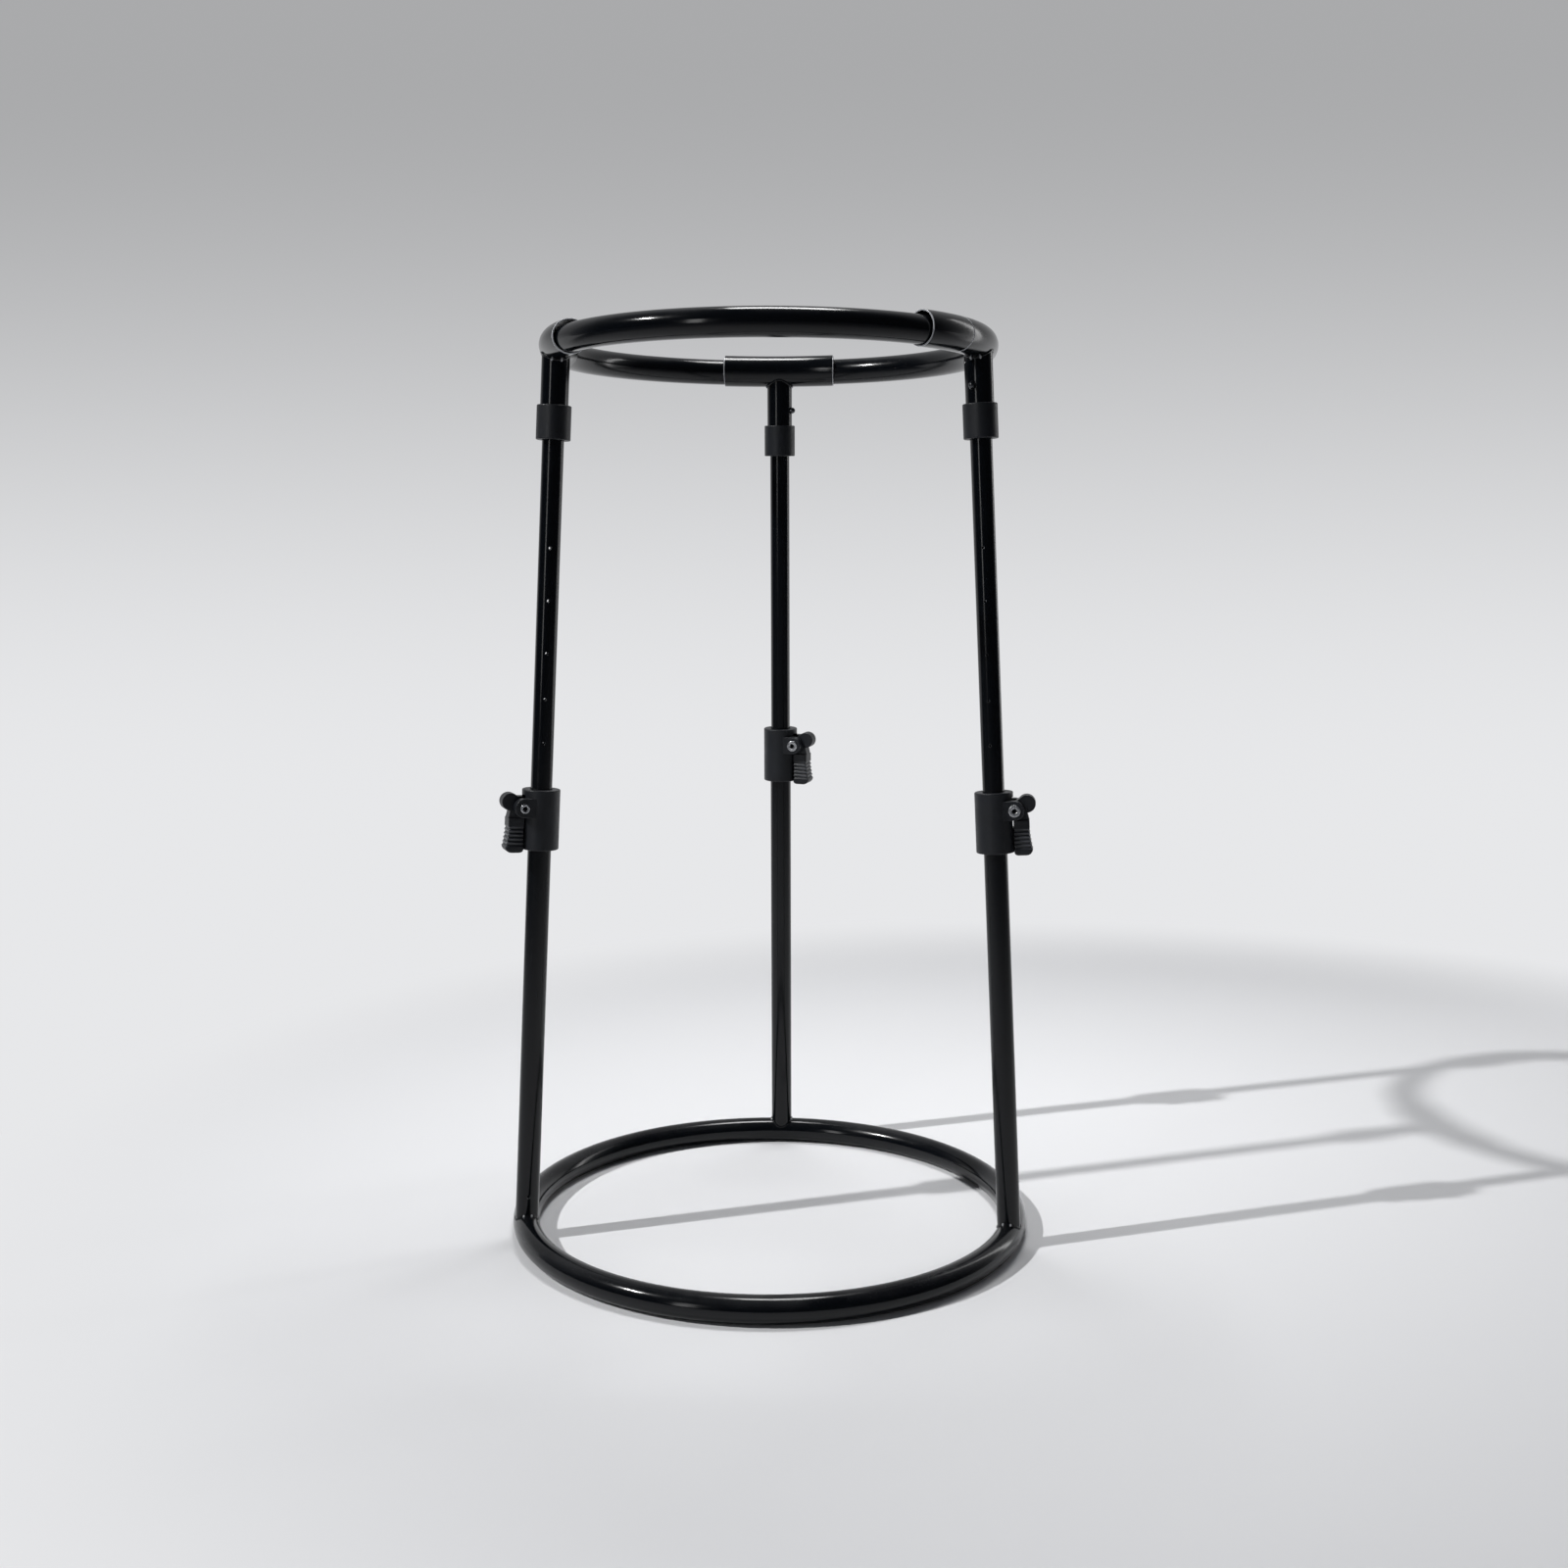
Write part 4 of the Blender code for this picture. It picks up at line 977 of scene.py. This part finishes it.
class DRUMSTAND_OT_collars(bpy.types.Operator):
    """Make the plastic collars under the stubs."""
    bl_idname = "drumstand.collars"
    bl_label = "Collars"

    def execute(self, context):
        rings, legs, _ = sizes()
        outer = legs.collar / 2
        bore = legs.upper / 2 + legs.gap
        skirt = rings.stub / 2 + legs.collar_play
        low, high = legs.collar_bottom, legs.collar_bottom + legs.collar_height
        seat = low + legs.collar_seat
        edge = 0.9 * MM
        fine = 0.45 * MM
        outline = np.concatenate([
            quarter((high - edge, outer - edge), edge, 0, 90),
            quarter((high - fine, skirt + fine), fine, 90, 180),
            [(seat, skirt), (seat, bore)],
            quarter((low + edge, bore + edge), edge, 180, 270),
            quarter((low + edge, outer - edge), edge, 270, 360)])
        for side in SIDES:
            shell = turned(supported(outline, 0.5 * MM), 72, leg_frame(side))
            add_piece(f"collar_{side}", mesh_of(f"collar_{side}", [shell]), "black_plastic",
                      f"upper_leg_{side}", f"leg_collar_{side}")
        return {"FINISHED"}


def box_tool(place, low, high):
    """A closed box as a cutter, in the frame of a clamp."""
    x, y, z = ([a, b] for a, b in zip(low, high))
    corners = np.array([(a, b, c) for a in x for b in y for c in z])
    faces = [(0, 1, 3, 2), (4, 6, 7, 5), (0, 4, 5, 1), (2, 3, 7, 6), (0, 2, 6, 4), (1, 5, 7, 3)]
    return mesh_of("box_tool", [(place.out(corners), faces)])


def lever_spread(clamps):
    """The direction from the pin to the middle of the lever's head."""
    return math.atan2(clamps.head_up, clamps.head_out)


def slot_top(clamps, gap):
    """Where the open lever's shoulder (x, z) clears the clamp: x sin a + z cos a above the pin."""
    turn = lever_spread(clamps) + clamps.shoulder
    x = clamps.head_out + clamps.head * math.cos(turn)
    z = clamps.head_up + clamps.head * math.sin(turn)
    return max(clamps.ear + gap, x * math.sin(clamps.lever_open) + z * math.cos(clamps.lever_open))


class DRUMSTAND_OT_clamps(bpy.types.Operator):
    """Make the clamp bodies with their ears, slot and split."""
    bl_idname = "drumstand.clamps"
    bl_label = "Clamp bodies"

    def execute(self, context):
        _, legs, clamps = sizes()
        outer = clamps.body / 2
        top, foot = clamps.pin_drop, clamps.pin_drop - clamps.height
        neck = top - clamps.neck
        wide, narrow = legs.lower / 2 + legs.gap, legs.upper / 2 + legs.gap
        edge = clamps.edge
        fine = 0.5 * MM
        shape = np.concatenate([[(top, 0.0), (top, outer - edge - fine)],
                                quarter((top - edge, outer - edge), edge, 90, 0),
                                [(top - edge - fine, outer), (foot + edge + fine, outer)],
                                quarter((foot + edge, outer - edge), edge, 0, -90),
                                [(foot, outer - edge - fine), (foot, 0.0)]])
        bore_shape = np.concatenate([
            [(foot - fine, 0.0), (foot - fine, wide + fine)],
            quarter((foot + fine, wide + fine), fine, 270, 180)[:-1],
            [(foot + fine, wide), (foot + 2 * fine, wide), (neck, wide), (neck, narrow),
             (top - 2 * fine, narrow), (top - fine, narrow)],
            quarter((top - fine, narrow + fine), fine, 180, 90)[1:],
            [(top + fine, narrow + fine), (top + fine, 0.0)]])
        ear = np.concatenate([[(clamps.ear_root, clamps.ear)],
                              arc((clamps.pin_offset, 0.0), clamps.ear, 90, -90, 33),
                              [(clamps.ear_root, -clamps.ear)]])
        floor = clamps.pin_offset - clamps.hub - legs.gap
        inside = legs.upper / 2 - legs.gap
        for side in SIDES:
            place = clamp_frame(side)
            tube = mesh_of("clamp", [turned(shape, 96, place, closed=False)])
            bore = mesh_of("bore", [turned(bore_shape, 96, place, closed=False)])
            ears = mesh_of("ears", [slab(ear, clamps.ear_span / 2, 0.7 * MM, place)])
            slot = box_tool(place, (floor, -clamps.slot / 2, -clamps.slot_drop),
                            (clamps.pin_offset + 2 * clamps.ear, clamps.slot / 2, slot_top(clamps, legs.gap)))
            window = box_tool(place, (inside, -clamps.window / 2, -clamps.window / 2),
                              (floor + legs.gap, clamps.window / 2, clamps.window / 2))
            split = box_tool(place, (inside, -clamps.split / 2, foot - legs.gap),
                             (clamps.body, clamps.split / 2, legs.gap - clamps.slot_drop))
            pin_place = place.then((clamps.pin_offset, 0.0, 0.0), ALONG_Y)
            pin = clamps.pin / 2 + legs.gap
            span = clamps.ear_span
            hole = mesh_of("pin_hole", [turned([(-span, 0.0), (-span, pin), (span, pin), (span, 0.0)], 32,
                                               pin_place, closed=False)])
            steps = [(ears, "UNION")] + [(tool, "DIFFERENCE") for tool in (bore, slot, window, split, hole)]
            add_piece(f"clamp_{side}", cut(tube, steps), "black_plastic", f"lower_leg_{side}",
                      f"clamp_body_{side}", sharp=30.0)
        return {"FINISHED"}


def paddle(clamps, place):
    """Rounded rectangles across z: x from back(z) to face(z), y from -w(z) to w(z).

    The face is a shallow hollow that flares to the end, and the back goes round the clamp as
    R - sqrt(R^2 - y^2). The grip ribs wave the face and both sides by d (1 - cos) / 2, and their
    crests are marked for a paler colour, rubbed wear with a painted highlight. The corners at the end follow
    arcs in x, and w is rounded there."""
    top, end = -clamps.paddle_drop, -clamps.paddle_length
    toe, heel, soft, corner = 6.2 * MM, 3.6 * MM, 1.6 * MM, 1.1 * MM
    back, waist, flare = clamps.paddle_back, clamps.paddle_waist, clamps.paddle_flare
    body = np.linspace(top, end + toe, 130)
    tip = end + toe * (1.0 - np.sin(np.radians(np.linspace(0.0, 90.0, 19))[1:]))
    z = np.concatenate([body, tip])
    depth = np.clip((top - z) / (top - end), 0.0, (top - end - toe) / (top - end))
    along = (-clamps.rib_drop - z) / clamps.rib_pitch
    ribbed = (along > 0.0) & (along < clamps.ribs) & (z > end + toe * 0.5)
    wave = ribbed * clamps.rib_depth * 0.5 * (1.0 - np.cos(math.tau * along))
    face = waist + flare * (1.6 * depth * depth - 0.35 * depth)
    below = np.clip(end + toe - z, 0.0, toe)
    face = face - toe + np.sqrt(toe ** 2 - below ** 2) - wave
    under = np.clip(end + heel - z, 0.0, heel)
    inner = back + heel - np.sqrt(heel ** 2 - under ** 2)
    edge = np.clip(end + soft - z, 0.0, soft)
    width = clamps.paddle_width / 2 - soft + np.sqrt(soft ** 2 - edge ** 2) - wave * 0.8
    middle, half = (face + inner) / 2, (face - inner) / 2
    turn = np.radians(np.concatenate([np.linspace(a, b, 7) for a, b in (
        (0.0, 90.0), (90.0, 180.0), (180.0, 180.0), (180.0, 270.0), (270.0, 360.0))]))
    sign_x = np.repeat([1.0, -1.0, -1.0, -1.0, 1.0], 7)
    sign_y = np.concatenate([np.ones(14), np.linspace(0.75, -0.75, 7), -np.ones(14)])
    x = middle[:, None] + sign_x * (half[:, None] - corner) + corner * np.cos(turn)
    y = sign_y * (width[:, None] - corner) + corner * np.sin(turn)
    wrap = clamps.pin_offset + back
    x = x - (sign_x < 0.0) * (wrap - np.sqrt(wrap ** 2 - y ** 2))
    # Rib crests marked for a paler colour: rubbed wear with a painted highlight.
    crest = (ribbed * (0.5 + 0.5 * np.cos(math.tau * along)) ** 3)[:, None] * (sign_x > 0.0)
    points = np.stack([x, y, z[:, None] + 0.0 * x], axis=-1)
    rows, count = x.shape
    faces = grid_faces(rows, count).tolist()
    faces += [list(range(count)), list(range((rows - 1) * count, rows * count))]
    return place.out(points.reshape(-1, 3)), faces, crest.ravel()


class DRUMSTAND_OT_levers(bpy.types.Operator):
    """Make the cam levers with their ribbed paddles."""
    bl_idname = "drumstand.levers"
    bl_label = "Levers"

    def execute(self, context):
        _, legs, clamps = sizes()
        gap = legs.gap
        foot = -clamps.paddle_drop - gap
        shoulder = math.degrees(lever_spread(clamps) + clamps.shoulder)
        head = (clamps.head_out, clamps.head_up)
        blade = np.concatenate([
            arc(head, clamps.head, shoulder, -88.0, 41),
            [(clamps.paddle_waist, foot), (clamps.paddle_back, foot)],
            arc((0.0, 0.0), clamps.hub, 270.0, shoulder, 25)])
        for side in SIDES:
            place = clamp_frame(side).then((clamps.pin_offset, 0.0, 0.0), np.eye(3))
            shells = [slab(blade, clamps.slot / 2 - gap, 0.7 * MM, place), paddle(clamps, place)]
            add_piece(f"lever_{side}", mesh_of(f"lever_{side}", shells), "black_plastic",
                      f"lever_{side}", f"clamp_lever_{side}", sharp=50.0)
        return {"FINISHED"}


class DRUMSTAND_OT_pins(bpy.types.Operator):
    """Make the tubular rivets that the levers turn on."""
    bl_idname = "drumstand.pins"
    bl_label = "Lever pins"

    def execute(self, context):
        _, legs, clamps = sizes()
        end = clamps.ear_span / 2 + legs.gap
        bore, shaft = clamps.pin_bore / 2, clamps.pin / 2
        roll = 0.8 * MM
        halves = [np.concatenate([[(end, shaft)], quarter((end, head - roll), roll, 0, 90, 6),
                                  quarter((end, bore + roll), roll, 90, 180, 6)])
                  for head in (clamps.pin_head / 2, clamps.pin_flare / 2)]
        outline = np.concatenate([halves[0], halves[1][::-1] * (-1.0, 1.0)])
        for side in SIDES:
            place = clamp_frame(side).then((clamps.pin_offset, 0.0, 0.0), ALONG_Y)
            shell = turned(outline, 48, place)
            add_piece(f"rivet_{side}", mesh_of(f"rivet_{side}", [shell]), "zinc",
                      f"lower_leg_{side}", f"lever_pin_{side}")
        return {"FINISHED"}


class DRUMSTAND_OT_buttons(bpy.types.Operator):
    """Make the domed snap buttons."""
    bl_idname = "drumstand.buttons"
    bl_label = "Snap buttons"

    def execute(self, context):
        rings, legs, _ = sizes()
        radius = legs.button / 2
        tip = rings.stub / 2 + legs.button_proud
        outer = legs.upper / 2 - legs.upper_wall - 4 * legs.gap
        inner = outer - 1.2 * MM
        dome = np.radians(np.linspace(0.0, 90.0, 13))
        outline = np.concatenate([
            np.stack([tip - radius + radius * np.cos(dome), radius * np.sin(dome)], axis=-1),
            [(outer + 0.4 * MM, radius), (outer, radius + 0.2 * MM), (outer, 4.3 * MM),
             (outer - 0.2 * MM, 4.5 * MM), (inner, 4.5 * MM), (inner, 0.0)]])
        for side in SIDES:
            place = leg_frame(side).then((0.0, 0.0, legs.button_height), about_z(legs.button_turn) @ ALONG_X)
            shell = turned(outline, 40, place, closed=False)
            add_piece(f"button_{side}", mesh_of(f"button_{side}", [shell]), "blackened",
                      f"button_{side}", f"snap_button_{side}")
        return {"FINISHED"}


class DRUMSTAND_OT_inner(bpy.types.Operator):
    """Finish the CAD pieces that stay: plugs, pads and leaf springs."""
    bl_idname = "drumstand.inner"
    bl_label = "Inner pieces"

    def execute(self, context):
        kinds = {"tube_end_plug": nylon, "clamp_pad": nylon, "button_spring": spring_steel}
        for kind, finish in kinds.items():
            for side in SIDES:
                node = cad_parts[f"{kind}_{side}"]
                if not node.material_slots:
                    node.data.materials.append(finish())
                for entry in node.material_slots:
                    entry.material = finish()
        return {"FINISHED"}


class DRUMSTAND_OT_stage(bpy.types.Operator):
    """Make the floor, the backdrop, the lights and the camera."""
    bl_idname = "drumstand.stage"
    bl_label = "Stage"

    def execute(self, context):
        stage = context.scene.drum_stand_stage
        self.backdrop(stage)
        self.world()
        self.light("key", (-4.4, -1.7, 4.6), (0.15, 0.3, 0.2), 0.12, 0.12, stage.key_power, 42.0)
        self.light("pool", (0.1, 0.55, 2.9), (0.1, 0.35, 0.0), 0.9, 0.6, stage.pool_power, 125.0)
        self.light("left strip", (-2.1, -3.4, 1.25), (0.0, 0.0, 0.6), 0.5, 1.7, stage.strip_power, 90.0)
        self.light("right strip", (1.5, 0.9, 1.0), (0.0, 0.0, 0.45), 0.2, 1.8, stage.strip_power * 0.4, 90.0)
        camera = bpy.data.cameras.new("camera")
        camera.lens = stage.lens
        camera.sensor_width = 36.0
        camera.clip_end = 60.0
        eye = bpy.data.objects.new("camera", camera)
        context.scene.collection.objects.link(eye)
        eye.location = (stage.camera_x, stage.camera_y, stage.camera_z)
        eye.rotation_euler = (math.pi / 2 - stage.camera_dip, 0.0, stage.camera_turn)
        context.scene.camera = eye
        context.scene.view_settings.view_transform = "Standard"
        return {"FINISHED"}

    def backdrop(self, stage):
        """A sweep: flat floor, a quarter circle of 1.2 m, then a wall; carried along x."""
        bend = np.radians(np.linspace(0.0, 90.0, 25))
        run = np.concatenate([[-6.0], 1.6 + 1.2 * np.sin(bend), [2.8]])
        rise = np.concatenate([[0.0], 1.2 - 1.2 * np.cos(bend), [5.0]])
        across = np.linspace(-7.0, 7.0, 3)
        points = np.stack([across[None, :] + 0.0 * run[:, None], run[:, None] + 0.0 * across,
                           rise[:, None] + 0.0 * across], axis=-1)
        mesh = bpy.data.meshes.new("studio sweep")
        faces = grid_faces(len(run), len(across), closed_columns=False)[:, ::-1]
        mesh.from_pydata(points.reshape(-1, 3).tolist(), [], faces.tolist())
        mesh.shade_smooth()
        sweep = bpy.data.objects.new("studio sweep", mesh)
        bpy.context.scene.collection.objects.link(sweep)
        material, tree, shader = start_material("studio paper")
        if tree is not None:
            shader["Base Color"].default_value = opaque(stage.floor)
            shader["Roughness"].default_value = 0.9
            shader["Specular IOR Level"].default_value = 0.1
            glow = tree.nodes.new("ShaderNodeEmission")
            glow.inputs["Color"].default_value = opaque(stage.floor)
            place = tree.nodes.new("ShaderNodeTexCoord").outputs["Object"]
            split = tree.nodes.new("ShaderNodeSeparateXYZ")
            link(tree, place, split.inputs[0])
            fall = math_node(tree, "MULTIPLY", ramp(tree, split.outputs["Z"], 0.1, 1.9), 0.5)
            link(tree, math_node(tree, "SUBTRACT", 1.0, fall), glow.inputs["Strength"])
            ray = tree.nodes.new("ShaderNodeLightPath").outputs
            away = tree.nodes.new("ShaderNodeVectorMath")
            away.operation = "DISTANCE"
            link(tree, place, away.inputs[0])
            away.inputs[1].default_value = (0.4, 0.2, 0.0)
            outside = ramp(tree, away.outputs["Value"], 0.85, 1.3)
            behind = ramp(tree, split.outputs["Y"], 0.65, 1.25)
            seen = math_node(tree, "MULTIPLY", ray["Is Camera Ray"], outside)
            mirrored = math_node(tree, "MULTIPLY", ray["Is Glossy Ray"], behind)
            seen = math_node(tree, "MAXIMUM", seen, mirrored)
            both = tree.nodes.new("ShaderNodeMixShader")
            link(tree, seen, both.inputs[0])
            link(tree, tree.nodes["Principled BSDF"].outputs[0], both.inputs[1])
            link(tree, glow.outputs[0], both.inputs[2])
            link(tree, both.outputs[0], tree.nodes["Material Output"].inputs["Surface"])
        mesh.materials.append(material)

    def world(self):
        """A dim room with a pale far side, which the camera sees as plain pale."""
        world = bpy.data.worlds.new("studio")
        world.use_nodes = True
        tree = world.node_tree
        split = tree.nodes.new("ShaderNodeSeparateXYZ")
        link(tree, tree.nodes.new("ShaderNodeTexCoord").outputs["Generated"], split.inputs[0])
        level = mix_colour(tree, ramp(tree, split.outputs["Y"], -0.05, 0.85),
                           (0.045, 0.048, 0.055, 1.0), (0.75, 0.76, 0.79, 1.0))
        level = mix_colour(tree, tree.nodes.new("ShaderNodeLightPath").outputs["Is Camera Ray"], level,
                           (0.82, 0.83, 0.86, 1.0))
        link(tree, level, tree.nodes["Background"].inputs["Color"])
        tree.nodes["Background"].inputs["Strength"].default_value = 0.75
        bpy.context.scene.world = world

    def light(self, name, position, target, width, height, power, spread):
        """A panel at position that faces target; spread is its beam in degrees."""
        lamp = bpy.data.lights.new(name, "AREA")
        lamp.shape = "RECTANGLE"
        lamp.size = width
        lamp.size_y = height
        lamp.energy = power
        lamp.spread = math.radians(spread)
        thing = bpy.data.objects.new(name, lamp)
        bpy.context.scene.collection.objects.link(thing)
        thing.location = position
        thing.rotation_euler = (Vector(target) - Vector(position)).to_track_quat("-Z", "Y").to_euler()


class DRUMSTAND_PT_panel(bpy.types.Panel):
    """Lists the pieces of the stand."""
    bl_idname = "DRUMSTAND_PT_panel"
    bl_label = "Drum Stand"
    bl_space_type = "VIEW_3D"
    bl_region_type = "UI"
    bl_category = "Drum Stand"

    def draw(self, context):
        for operator in OPERATORS:
            self.layout.operator(operator.bl_idname)
        for group in GROUPS:
            box = self.layout.box()
            settings = getattr(context.scene, group)
            for name in settings.bl_rna.properties.keys():
                if name not in {"rna_type", "name"}:
                    box.prop(settings, name)


OPERATORS = (DRUMSTAND_OT_rings, DRUMSTAND_OT_tees, DRUMSTAND_OT_legs, DRUMSTAND_OT_collars,
             DRUMSTAND_OT_clamps, DRUMSTAND_OT_levers, DRUMSTAND_OT_pins, DRUMSTAND_OT_buttons,
             DRUMSTAND_OT_inner, DRUMSTAND_OT_stage)
CLASSES = tuple(GROUPS.values()) + OPERATORS + (DRUMSTAND_PT_panel,)


def register():
    for cls in CLASSES:
        bpy.utils.register_class(cls)
    for name, group in GROUPS.items():
        setattr(bpy.types.Scene, name, PointerProperty(type=group))


def unregister():
    for name in GROUPS:
        delattr(bpy.types.Scene, name)
    for cls in reversed(CLASSES):
        bpy.utils.unregister_class(cls)


def main():
    """Make every piece and the stage."""
    register()
    bpy.ops.drumstand.rings()
    bpy.ops.drumstand.tees()
    bpy.ops.drumstand.legs()
    bpy.ops.drumstand.collars()
    bpy.ops.drumstand.clamps()
    bpy.ops.drumstand.levers()
    bpy.ops.drumstand.pins()
    bpy.ops.drumstand.buttons()
    bpy.ops.drumstand.inner()
    bpy.ops.drumstand.stage()


if __name__ == "__main__":
    main()
